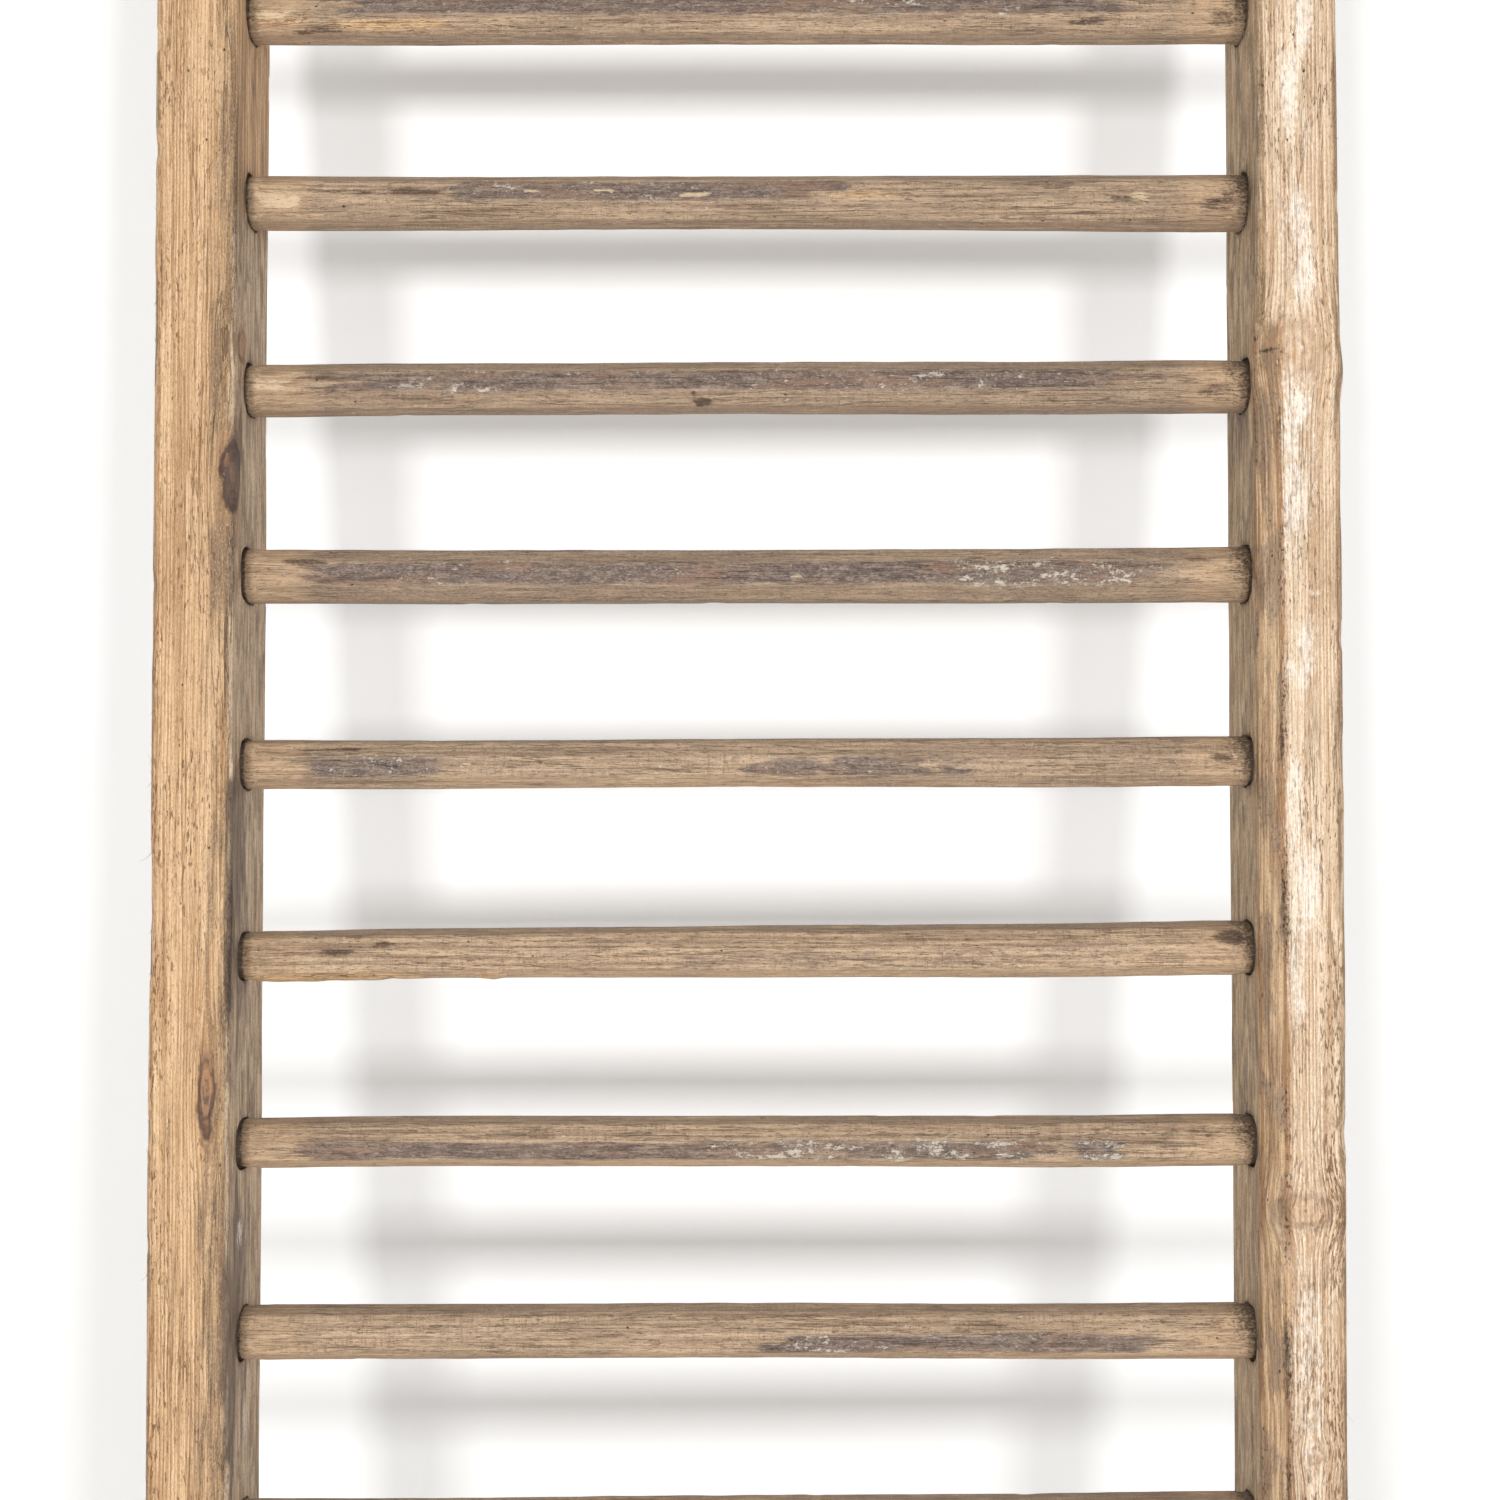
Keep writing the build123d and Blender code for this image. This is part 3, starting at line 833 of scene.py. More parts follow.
def round_plank(u, y):
    """How far round a plank's section each point lies; u and y run from the section's middle."""
    reach = np.maximum(np.abs(u) / (WIDTH / 2), np.abs(y) / (DEPTH / 2))
    box_u = u / np.maximum(reach, 1e-6)
    box_y = y / np.maximum(reach, 1e-6)
    across = np.where(box_y >= DEPTH / 2 - 1e-9, WIDTH / 2 - box_u, 0.0)
    across = np.where(box_u <= -WIDTH / 2 + 1e-9, WIDTH + DEPTH / 2 - box_y, across)
    across = np.where(box_y <= -DEPTH / 2 + 1e-9, WIDTH + DEPTH + box_u + WIDTH / 2, across)
    return np.where(box_u >= WIDTH / 2 - 1e-9, 2 * WIDTH + DEPTH + box_y + DEPTH / 2, across)


def nearest_rung(z):
    """The rung whose height is nearest to each z, counted from 0, and that rung's even height."""
    lowest = AXES[0].height(0)
    pitch = (AXES[-1].height(0) - lowest) / (len(AXES) - 1)
    number = np.clip(np.round((z - lowest) / pitch), 0, len(AXES) - 1)
    return number, lowest + number * pitch


def rail_cells(mesh):
    """Each face's cell: one for each end, each mortise and each bolt or peg hole; -1 on the skin."""
    slot, centre, normal = face_facts(mesh)
    z = centre[:, 2]
    is_upper = (z > LENGTH / 2).astype(int)
    is_bolt = np.abs(z - LENGTH / 2) > BOLT_RISE - 0.02
    cells = np.where((slot == 0) & (np.abs(normal[:, 2]) > 0.9), is_upper, -1)
    cells = np.where(slot == 1, 2 + nearest_rung(z)[0].astype(int), cells)
    return np.where(slot == 2, 2 + len(AXES) + 2 * is_upper + is_bolt, cells)


def in_cross_hole(mesh):
    """Which points lie on the wall of a bolt or peg hole."""
    face_slot = read_all(mesh.polygons, "material_index")
    corner_slot = np.repeat(face_slot, read_all(mesh.polygons, "loop_total"))
    inside = np.zeros(len(mesh.vertices), bool)
    inside[read_all(mesh.loops, "vertex_index")[corner_slot == 2]] = True
    return inside


def cross_hole_turn(x, z, sign):
    """The angle of each point about the nearest bolt or peg hole."""
    centre_x, centre_z = np.zeros(len(x)), np.zeros(len(x))
    best = np.full(len(x), np.inf)
    holes = [(sign * BOLT_X, height) for height in BOLT_HEIGHTS] + [peg[:2] for peg in peg_places(sign)]
    for hole_x, hole_z in holes:
        distance = np.hypot(x - hole_x, z - hole_z)
        closer = distance < best
        best = np.where(closer, distance, best)
        centre_x = np.where(closer, hole_x, centre_x)
        centre_z = np.where(closer, hole_z, centre_z)
    return turn_about(x - centre_x, z - centre_z)


def rail_map(mesh, side):
    """Lays a rail's skin out in three strips, with its ends and hole walls in cells.

    A point on a hole's wall sits in its cell by its angle and depth, one on an end by x and y."""
    sign = SIDES[side]
    x, y, z = vertex_points(mesh).T
    u = x * sign - INNER - WIDTH / 2
    in_depth = np.clip(y / DEPTH + 0.5, 0, 1)
    through = in_cross_hole(mesh)
    at_end = (z < 1e-4) | (z > LENGTH - 1e-4)
    turn = turn_about(y, z - nearest_rung(z)[1])
    turn = np.where(through, cross_hole_turn(x, z, sign), turn)
    turn = np.where(at_end, u / DEPTH / 1.02 + 0.5, turn)
    depth = np.where(through | at_end, in_depth, np.clip((u + WIDTH / 2) / WIDTH, 0, 1))
    lay_out(mesh, round_plank(u, y), 2 * (WIDTH + DEPTH), z, 3, rail_cells(mesh), turn, depth)


def make_rail(side, timber, bore):
    sign = SIDES[side]
    rings = rail_rings(side)
    rings[..., 0] = sign * (INNER + rings[..., 0])
    mesh = closed_tube("rail", rings)
    mortises = [mortise_tool(axis, side) for axis in AXES]
    bolts = [round_tool(sign * BOLT_X, height, BOLT_RADIUS, DEPTH) for height in BOLT_HEIGHTS]
    pegs = [round_tool(x, z, radius + 0.0002, DEPTH) for x, z, radius in peg_places(sign)]
    tools = [joined("mortises", mortises), joined("cross_holes", bolts + pegs)]
    mesh = cut_away(mesh, tools, f"timber_rail_{side}", timber, bore)
    rail_marks(mesh, side)
    rail_map(mesh, side)
    finished(mesh, f"rail_{side}", 38)


# ---- Rungs ----
def spread(spans, x, edge):
    """The strongest of several spans at each x."""
    worn = np.zeros(np.shape(x))
    for low, high, strength in spans:
        worn = np.maximum(worn, strength * span(x, low, high, edge))
    return worn


def patches(places, x, angle):
    """The strongest of several patches at each place: full inside, fading over their outer half."""
    worn = np.zeros(np.shape(x))
    for at_x, at_angle, half_length, half_angle, strength in places:
        around = (angle - math.radians(at_angle)) / math.radians(half_angle)
        away = np.hypot((x - at_x) / half_length, around)
        worn = np.maximum(worn, strength * ease(away, 1.35, 0.65))
    return worn


def rung_stations():
    """Where a rung's rings stand along x: close together at its shoulders and its ends."""
    shaft = np.linspace(-SHOULDER_START, SHOULDER_START, int(2 * SHOULDER_START / RUNG_STEP))
    near_end = np.array([0.0009, 0.0018, 0.003, 0.0045, 0.006, 0.008])
    tenon = [0.340, 0.350, 0.360, 0.3665, OUTER - 0.0015, OUTER - 0.0002]
    ends = np.concatenate([SHOULDER_START + near_end, [SHOULDER_END], tenon])
    return np.concatenate([-ends[::-1], shaft, ends])


def facet_reach(axis, seed, x, angle, spin):
    """How far eight slightly uneven facets reach in each direction, beside their half width."""
    total = np.zeros(x.shape)
    for facet in range(8):
        share = 1 + 0.020 * (2 * chance(facet + axis.number * 9, 3) - 1)
        share = share + 0.014 * wander(x, 0.13, seed + 20 + facet)
        share = share + 0.005 * wander(x, 0.030, seed + 40 + facet)
        towards = np.clip(np.cos(angle - facet * math.pi / 4 - spin), 0, None)
        total += (towards / share) ** FACET_SHARPNESS
    return total ** (-1 / FACET_SHARPNESS)


def wear_rung(radius, axis, seed, x, angle, place, to_round):
    """Adds a rung's grain, and takes off its chips and torn wood."""
    radius += 0.00020 * noise(place, (0.018, 0.004, 0.004), seed + 60)
    radius += 0.00010 * noise(place, (0.05, 0.0022, 0.0022), seed + 61)
    chipped = np.clip(noise(place, (0.022, 0.006, 0.006), seed + 62) - 0.55, 0, None)
    radius -= 0.0020 * chipped * (1 - to_round)
    ahead_angle = np.arctan2(np.sin(angle), -np.cos(angle))
    torn = patches(axis.look.get("torn", []), x, ahead_angle)
    radius += torn * (0.0012 + 0.0012 * noise(place, (0.012, 0.004, 0.004), seed + 63))
    radius -= 0.0014 * torn * np.clip(noise(place, (0.005, 0.003, 0.003), seed + 64), 0, 1)


def rung_rings(axis):
    """A rung's skin: eight shaved facets, rounded where it enters the rails, and round tenons."""
    seed = 500 + axis.number * 17
    x = np.repeat(rung_stations()[:, None], RUNG_AROUND, 1)
    spin = -axis.turn + math.radians(1.5) * wander(x, 0.22, seed)
    angle = all_round(RUNG_AROUND)[None, :] + spin

    half = axis.half_across(x)
    to_round = ease(np.abs(x), INNER - ROUNDING, INNER - 0.001)
    square = squared(angle, np.where(x < 0, axis.squareness(-1), axis.squareness(1)))
    radius = half * facet_reach(axis, seed, x, angle, spin)
    radius = radius * (1 - to_round) + half * 1.01 * square * to_round
    place = np.stack([x, np.cos(angle) * half, np.sin(angle) * half], -1)
    wear_rung(radius, axis, seed, x, angle, place, to_round)

    to_tenon = ease(np.abs(x), SHOULDER_START, SHOULDER_END)
    in_front = np.clip(-np.cos(angle), 0, None) ** 1.5
    radius -= 0.0022 * in_front * ease(np.abs(x), INNER - 0.003, INNER + 0.003) * (1 - to_tenon)
    round_end = TENON_RADIUS + 0.00008 * noise(place, (0.01, 0.004, 0.004), seed + 65)
    radius = radius * (1 - to_tenon) + round_end * to_tenon
    radius -= 0.0009 * ease(np.abs(x), OUTER - 0.002, OUTER)

    settle = 1 - ease(np.abs(x), INNER - 0.10, INNER)
    sag_z = 0.0008 * wander(x, 0.21, seed + 70) * settle
    sag_y = 0.0008 * wander(x, 0.24, seed + 71) * settle
    height = axis.height(x)
    return np.stack([x, sag_y + radius * np.cos(angle), height + sag_z + radius * np.sin(angle)], -1)


def rung_marks(mesh, axis):
    """Numbers that steer a rung's material: patina, flakes, torn wood, dirt with painted shade at the
    rails, and facet tone: dust, and painted shade on the facets turned away from the front.
    """
    look = axis.look
    seed = 800 + axis.number * 13
    points = vertex_points(mesh)
    x, y = points[:, 0], points[:, 1]
    z = points[:, 2] - axis.height(x)
    angle = np.arctan2(z, -y)
    facet = angle - axis.turn
    streaked = x + 0.022 * noise(points, (0.05, 0.0035, 0.0035), seed)
    streaked = streaked + 0.008 * noise(points, (0.012, 0.003, 0.003), seed + 2)
    waved = angle + 0.10 * noise(points, (0.018, 0.006, 0.006), seed + 3)

    on_front = ease(np.abs(facet), 0.52, 0.33)
    patina = spread(look.get("patina", []), streaked, 0.008) * on_front
    patina *= 0.86 + 0.34 * noise(points, (0.05, 0.010, 0.010), seed + 4)
    paint(mesh, "patina", np.clip(patina, 0, 1))
    paint(mesh, "flakes", spread(look.get("flakes", []), streaked, 0.008) * ease(np.abs(facet), 0.8, 0.4))
    paint(mesh, "torn", patches(look.get("torn", []), streaked, waved))
    paint(mesh, "spot", patches(look.get("spots", []), x + 0.4 * (streaked - x), waved))
    paint(mesh, "chip", patches(look.get("chips", []), x + 0.5 * (streaked - x), waved))
    low_facet = ease(facet, -0.36, -0.46) * ease(facet, -1.30, -1.15)
    paint(mesh, "tan", spread(look.get("tan", []), streaked, 0.02) * low_facet)
    # Painted shade: the facets turned up, back and down are darkened. Grey-brown dust lies on the facets
    # next to the front one, more below on a dull rung.
    shaded = np.maximum(ease(facet, 1.10, 1.25), ease(facet, -1.10, -1.25))
    dusty = 0.10 * ease(facet, 0.37, 0.43) + 0.50 * ease(facet, -0.37, -0.43) * look.get("dull", 0.35)
    paint(mesh, "above", np.maximum(dusty, 0.6 * shaded))
    ridge = np.exp(-(((facet - HALF_FACET) / 0.075) ** 2))
    ridge += 0.9 * np.exp(-(((facet + HALF_FACET) / 0.075) ** 2))
    paint(mesh, "ridge", ridge * ease(np.abs(x), 0.31, 0.28))

    # Painted shade with dirt where the rung meets the rails: full just inside each mouth, rising over the
    # last 30 mm before the right rail and more on its upper side, weaker over the last 12 mm before the
    # left rail.
    in_joint = span(np.abs(x), INNER, INNER + 0.014, 0.002)
    near_right = ease(x, INNER - 0.030, INNER - 0.002) * (0.55 + 0.25 * ease(angle, -0.6, 0.6))
    near_left = ease(-x, INNER - 0.012, INNER - 0.001) * 0.42
    dirt = np.maximum(near_right, near_left)
    dirt = np.where(np.abs(x) < INNER + 0.004, dirt, 0.25)
    paint(mesh, "dirt", np.maximum(dirt, in_joint))
    clean = ease(np.abs(x), 0.268, 0.292) * (1 - in_joint)
    paint(mesh, "clean", clean)
    uneven = 0.8 + 0.35 * noise(points, (0.09, 0.012, 0.012), seed + 5)
    paint(mesh, "dull", look.get("dull", 0.35) * uneven * (1 - 0.7 * clean))


def rung_map(mesh, axis):
    points = vertex_points(mesh)
    x, y = points[:, 0], points[:, 1]
    z = points[:, 2] - axis.height(x)
    girth = math.pi * 2 * float(axis.half_across(0))
    slot, centre, normal = face_facts(mesh)
    is_right = (centre[:, 0] > 0).astype(int)
    is_end = (slot == 0) & (np.abs(normal[:, 0]) > 0.9) & (np.abs(centre[:, 0]) > OUTER - 0.001)
    loose = np.where(is_end, is_right, -1)
    loose = np.where((slot > 0) & (normal[:, 2] < 0), 2 + is_right, loose)
    loose = np.where((slot > 0) & (normal[:, 2] >= 0), 4 + is_right, loose)
    on_end = np.abs(x) > OUTER - 0.0003
    wall_along = np.clip((np.abs(x) - INNER) / WIDTH, 0, 1)
    loose_across = np.clip(y / 0.04 + 0.5, 0, 0.999)
    loose_along = np.where(on_end, np.clip(z / 0.04 + 0.5, 0, 1), wall_along)
    lay_out(mesh, turn_about(y, z) * girth, girth, x, 3, loose, loose_across, loose_along)


def wedge_ring(axis, sign, inwards, grow):
    """A wedge's outline at one depth in its tenon, as points round a thin rounded oblong."""
    share = np.clip(inwards / WEDGE_LENGTH, 0, 1)
    thick = WEDGE_HEAD + (WEDGE_TIP - WEDGE_HEAD) * share + 2 * grow
    wide = WEDGE_WIDTH + 2 * grow
    turn = all_round(WEDGE_AROUND)
    power = 0.28
    across = np.sign(np.cos(turn)) * np.abs(np.cos(turn)) ** power * wide / 2
    rise = np.sign(np.sin(turn)) * np.abs(np.sin(turn)) ** power * thick / 2
    x = sign * (OUTER - inwards)
    return np.stack([np.full(WEDGE_AROUND, x), across, axis.height(x) + rise], -1)


def kerf_tool(axis, sign):
    depths = [-0.004, 0.0, 0.008, 0.016, WEDGE_LENGTH + 0.0005]
    return closed_tube("kerf", np.array([wedge_ring(axis, sign, depth, 0.0001) for depth in depths]))


def make_rung(axis, oak, bore):
    mesh = closed_tube("rung", rung_rings(axis))
    tools = [joined("kerfs", [kerf_tool(axis, sign) for sign in SIDES.values()])]
    holes = []
    for sign in SIDES.values():
        for x, z, radius in peg_places(sign):
            if abs(z - axis.height(0)) < 0.02:
                holes.append(round_tool(x, z, radius + 0.0001, 0.03))
    if holes:
        tools.append(joined("peg_holes", holes))
    mesh = cut_away(mesh, tools, f"shaved_{axis.node}", oak, bore)
    rung_marks(mesh, axis)
    rung_map(mesh, axis)
    finished(mesh, axis.node)


# ---- Wedges, pegs and splinters ----
def make_wedges(side, material):
    """Every wedge of one rail: each tapers into its tenon and stands a little proud, its head bruised."""
    sign = SIDES[side]
    meshes = []
    for axis in AXES:
        proud = 0.0004 + 0.0005 * chance(axis.number, 70 + sign)
        depths = [-proud, -proud + 0.0004, 0.002, 0.005, 0.010, 0.015, 0.020, WEDGE_LENGTH]
        rings = np.array([wedge_ring(axis, sign, depth, 0.0) for depth in depths])
        bruise = 0.00025 * noise(rings, (0.003, 0.003, 0.003), 120 + sign)
        bruise[3:] *= 0.3
        centre = rings.mean(1, keepdims=True)
        away = rings - centre
        rings[..., 1] += bruise * np.sign(away[..., 1]) - np.where(np.arange(8)[:, None] == 0, 0.0004, 0)
        rings[0, :, 1:] = centre[0, :, 1:] + away[0, :, 1:] * 0.93
        meshes.append(closed_tube("wedge", rings))
    mesh = joined(f"driven_wedges_{side}", meshes)
    mesh.materials.append(material)
    finished(mesh, f"wedges_{side}")


def make_peg(node, material):
    """A whittled peg, driven through from the front, its ends chamfered and a little proud."""
    low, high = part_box(node)
    x, z = (low.x + high.x) / 2, (low.z + high.z) / 2
    radius = (high.x - low.x) / 2
    turn = all_round(PEG_AROUND)
    out_x, out_z = np.cos(turn), np.sin(turn)
    seed = 900 + PEG_NODES.index(node)
    stations = [-0.0014, -0.0008, 0.0006, 0.004, 0.02, 0.04, 0.06, 0.08, 0.096, 0.0994, 0.1006, 0.1012]
    trims = [0.0014, 0.0005, 0, 0, 0, 0, 0, 0, 0, 0, 0.0004, 0.0012]
    rings = []
    for station, trim in zip(stations, trims):
        y = np.full(PEG_AROUND, low.y + station)
        facets = 1 - 0.02 * (1 - np.abs(np.cos(turn * 4 + seed)))
        place = np.stack([out_x * radius, y, out_z * radius], -1)
        size = (radius * facets - trim) * (1 + 0.008 * noise(place, (0.003, 0.01, 0.003), seed))
        rings.append(np.stack([x + size * out_x, y, z + size * out_z], -1))
    mesh = closed_tube(f"driven_{node}", np.array(rings))
    mesh.materials.append(material)
    finished(mesh, node)


def sliver(start, direction, curl, length, width):
    """One thin curved splinter, pointed at its free end and closed all round."""
    direction = np.asarray(direction) / np.linalg.norm(direction)
    side_way = np.cross(direction, (0.3, 0.9, 0.2))
    side_way /= np.linalg.norm(side_way)
    other = np.cross(direction, side_way)
    rings = []
    for share in (0.0, 0.25, 0.5, 0.75, 1.0):
        centre = np.asarray(start) + direction * length * share + np.asarray(curl) * share**2 * length
        size = width * (1 - 0.85 * share)
        corners = []
        for angle in (0.5, 2.6, 4.7):
            corners.append(centre + size * (math.cos(angle) * side_way + 0.5 * math.sin(angle) * other))
        rings.append(corners)
    return closed_tube("sliver", np.array(rings))


def make_splinters(side, material):
    """Raised fibres along a rail's outer front arris, where the saw left it furred."""
    sign = SIDES[side]
    random = np.random.default_rng(SEED[side])
    count = 210 if side == "left" else 70
    slivers = []
    for _ in range(count):
        height = random.uniform(0.02, LENGTH - 0.03)
        y = FRONT + random.uniform(0.001, 0.012)
        out = random.uniform(0.15, 0.9)
        start = (sign * (OUTER - 0.0016), y, height)
        direction = (sign * out * 0.5, random.uniform(-0.35, 0.1), random.choice((-1, 1)))
        curl = (sign * random.uniform(0, 0.3), random.uniform(-0.15, 0.1), 0)
        length = random.uniform(0.002, 0.007)
        slivers.append(sliver(start, direction, curl, length, random.uniform(0.00012, 0.0003)))
    if side == "left":
        start = (-OUTER + 0.001, FRONT + 0.005, 1.024)
        slivers.append(sliver(start, (-0.55, -0.1, -1), (-0.3, 0, 0.25), 0.010, 0.0003))
    mesh = joined(f"splinters_{side}", slivers)
    mesh.materials.append(material)
    finished(mesh)


# ---- Materials ----
def colour(red, green, blue):
    """A colour given as 0 to 255 in sRGB, made linear."""
    levels = [value / 255 for value in (red, green, blue)]
    linear = [v / 12.92 if v <= 0.04045 else ((v + 0.055) / 1.055) ** 2.4 for v in levels]
    return (*linear, 1.0)


class Number:
    """A number that a material works out at each point; sums of them are written as usual."""

    def __init__(self, shade, socket):
        self.shade = shade
        self.socket = socket

    def __add__(self, other):
        return self.shade.math("ADD", self, other)

    def __sub__(self, other):
        return self.shade.math("SUBTRACT", self, other)

    def __mul__(self, other):
        return self.shade.math("MULTIPLY", self, other)

    def step(self, low, high):
        """0 at low, 1 at high, eased between."""
        inputs = {"Value": self, "From Min": low, "From Max": high}
        return self.shade.add("ShaderNodeMapRange", inputs, interpolation_type="SMOOTHSTEP")


class Shade:
    """Builds one material's nodes."""

    def __init__(self, name):
        self.material = bpy.data.materials.new(name)
        self.material.use_nodes = True
        self.tree = self.material.node_tree
        self.tree.nodes.clear()
        self.place = self.add("ShaderNodeTexCoord", {}, "Object")

    def add(self, kind, inputs, output=0, **settings):
        """Adds a node and gives one of its outputs."""
        node = self.tree.nodes.new(kind)
        for key, value in settings.items():
            setattr(node, key, value)
        for key, value in inputs.items():
            if isinstance(value, Number):
                self.tree.links.new(value.socket, node.inputs[key])
            else:
                node.inputs[key].default_value = value
        return Number(self, node.outputs[output])

    def mark(self, name):
        """A number painted on the mesh."""
        return self.add("ShaderNodeAttribute", {}, "Fac", attribute_name=name)

    def math(self, operation, a, b=0.0):
        return self.add("ShaderNodeMath", {0: a, 1: b}, operation=operation)

    def noise(self, x, y, z, detail=2.0, roughness=0.55, distortion=0.0):
        """Noise with this many bumps per metre along x, y and z."""
        stretched = self.add("ShaderNodeVectorMath", {0: self.place, 1: (x, y, z)}, operation="MULTIPLY")
        settings = {"Vector": stretched, "Scale": 1.0, "Detail": detail, "Roughness": roughness}
        return self.add("ShaderNodeTexNoise", settings | {"Distortion": distortion}, "Fac")

    def cracks(self, x, y, z, width):
        """Thin wandering lines."""
        field = self.noise(x, y, z, 3.0, 0.6, 0.5)
        return self.math("ABSOLUTE", field - 0.5).step(width, 0.3 * width)

    def wormholes(self, x, y, z):
        """Round holes in scattered groups."""
        stretched = self.add("ShaderNodeVectorMath", {0: self.place, 1: (x, y, z)}, operation="MULTIPLY")
        distance = self.add("ShaderNodeTexVoronoi", {"Vector": stretched, "Scale": 1.0}, "Distance")
        return distance.step(0.064, 0.043) * self.noise(x / 4, y / 4, z / 4, 1.0).step(0.50, 0.56)

    def mix(self, amount, a, b, blend="MIX"):
        """Two tones mixed; a tone is a colour as red, green and blue from 0 to 255, or an earlier mix."""
        tones = [colour(*tone) if isinstance(tone, tuple) else tone for tone in (a, b)]
        inputs = {0: amount, 6: tones[0], 7: tones[1]}
        return self.add("ShaderNodeMix", inputs, 2, data_type="RGBA", blend_type=blend)

    def layers(self, base, *rows):
        """Tones laid over a base in turn; each row says how much shows and which tone."""
        for amount, tone in rows:
            base = self.mix(amount, base, tone)
        return base

    def finish(self, base, rough, height, depth, specular=0.3):
        bump = self.add("ShaderNodeBump", {"Strength": 1.0, "Distance": depth, "Height": height})
        settings = {"Base Color": base, "Roughness": rough, "Normal": bump}
        settings["Specular IOR Level"] = specular
        wood = self.add("ShaderNodeBsdfPrincipled", settings)
        output = self.tree.nodes.new("ShaderNodeOutputMaterial")
        self.tree.links.new(wood.socket, output.inputs["Surface"])
        return self.material


class Softwood(Shade):
    """Weathered sawn softwood; its noises run along the grain, which bends round the knots."""

    def __init__(self, name):
        super().__init__(name)
        rise = self.add("ShaderNodeSeparateXYZ", {0: self.place}, 2)
        along_grain = {0: self.mark("grain_u"), 1: self.mark("grain_y"), 2: rise}
        self.place = self.add("ShaderNodeCombineXYZ", along_grain)
        self.fine = self.noise(1500, 1500, 16, 3.0, 0.65)
        self.hairs = self.noise(1500, 1500, 150, 3.0, 0.7)
        self.pepper = self.noise(1400, 1400, 520, 3.0, 0.75)
        self.cloud = self.noise(70, 70, 24, 4.0, 0.62)
        self.streaks = self.noise(300, 300, 11, 3.0, 0.6)
        self.grit = self.noise(700, 700, 330, 4.0, 0.72)
        self.splits = self.cracks(170, 170, 7, 0.013) * self.noise(60, 60, 9).step(0.44, 0.60)
        self.knot_dark = self.mark("knot_dark")
        self.knot_far = self.mark("knot")
        self.knot_edge = self.knot_far + (self.noise(220, 220, 70, 4.0, 0.65) - 0.5) * 0.9

    def late_wood(self, ring_width):
        """Growth rings: pale wood darkening towards a thin late band, then a sharp start again."""
        phase = self.math("FRACT", self.mark("ring") * (1 / ring_width) + self.noise(18, 18, 3, 1.0) * 0.8)
        late_band = phase.step(0.30, 0.85) * phase.step(1.0, 0.93)
        return late_band * (self.noise(110, 110, 4).step(0.34, 0.62) * 0.72 + 0.16)

    def flecks(self):
        """Short dark flecks, where lifted fibres caught dirt."""
        place = self.noise(800, 800, 140, 3.0, 0.6, 0.4) + self.mark("fuzz") * 0.08
        return place.step(0.585, 0.68) * (self.noise(70, 70, 16).step(0.40, 0.62) * 0.70 + 0.20)

    def bark(self):
        """The dark bark line round a knot."""
        line = self.knot_edge.step(0.60, 0.90) * self.knot_edge.step(1.24, 0.98)
        return line * self.knot_dark * self.cloud.step(0.36, 0.54)

    def sawn(self, rings, early, late):
        """Bare sawn wood: rings, fibres, and fine light and dark grain."""
        base = self.mix(rings, early, late)
        base = self.mix(self.noise(430, 430, 6, 3.0, 0.6).step(0.40, 0.70) * 0.85, base, late)
        darker = self.mix(1.0, base, (190, 166, 142), "MULTIPLY")
        lighter = self.mix(1.0, base, (118, 110, 98), "SCREEN")
        return self.layers(
            base,
            (self.fine.step(0.50, 0.72) * 0.90, darker),
            (self.fine.step(0.47, 0.28) * 0.55, lighter),
            (self.noise(45, 45, 7, 3.0, 0.6).step(0.48, 0.70) * 0.45, darker),
            (self.hairs.step(0.52, 0.66) * 0.50, (146, 112, 76)),
            (self.pepper.step(0.50, 0.66) * 0.50, darker),
            (self.pepper.step(0.48, 0.34) * 0.40, lighter),
        )

    def greyed(self, base, side_tones):
        """Faces that have gone grey between the rungs; their edge runs in streaks."""
        grey_edge = self.mark("grey") + (self.streaks - 0.5) * 1.7 + (self.cloud - 0.5) * 0.8
        banding = self.streaks.step(0.38, 0.64)
        side_face = self.mark("grey").step(0.95, 1.10)
        side_wood = self.mix(banding, *side_tones)
        grey_wood = self.mix(side_face, self.mix(banding, (186, 153, 115), (136, 107, 78)), side_wood)
        pale_cloud = self.noise(120, 120, 40, 4.0, 0.65).step(0.51, 0.62)
        grey_wood = self.layers(
            grey_wood,
            (self.fine.step(0.46, 0.68) * 0.70, (108, 88, 69)),
            (self.fine.step(0.46, 0.30) * (side_face * 0.3 + 0.2), (220, 198, 168)),
            (self.cloud.step(0.46, 0.60) * (side_face * 0.3 + 0.4), (116, 97, 80)),
            (pale_cloud * side_face * 0.60, (210, 188, 158)),
            (self.pepper.step(0.50, 0.64) * 0.55, (100, 83, 67)),
            (self.pepper.step(0.46, 0.34) * 0.40, (216, 196, 168)),
            (self.splits * 0.7, (78, 62, 50)),
        )
        return self.mix(grey_edge.step(0.28, 0.80) * 0.92, base, grey_wood)

    def waned(self, base):
        """The wane: bare brown wood, grey clouds, dark specks, and an orange line along each edge."""
        bare = self.layers(
            self.mix(self.streaks.step(0.36, 0.62), (218, 186, 148), (160, 126, 93)),
            (self.fine.step(0.46, 0.70) * 0.60, (120, 92, 66)),
            (self.pepper.step(0.50, 0.66) * 0.50, (112, 88, 66)),
            (self.cloud.step(0.47, 0.60) * 0.70, (134, 114, 96)),
        )
        speck_zone = (self.mark("wane_edge") + self.mark("wane") * 0.45) * self.cloud.step(0.44, 0.56)
        return self.layers(
            base,
            (self.mark("wane") * 0.88, bare),
            (self.mark("wane_edge") * self.streaks.step(0.34, 0.58) * 0.55, (150, 98, 54)),
            (self.grit.step(0.53, 0.60) * speck_zone * 0.9, (66, 52, 42)),
        )

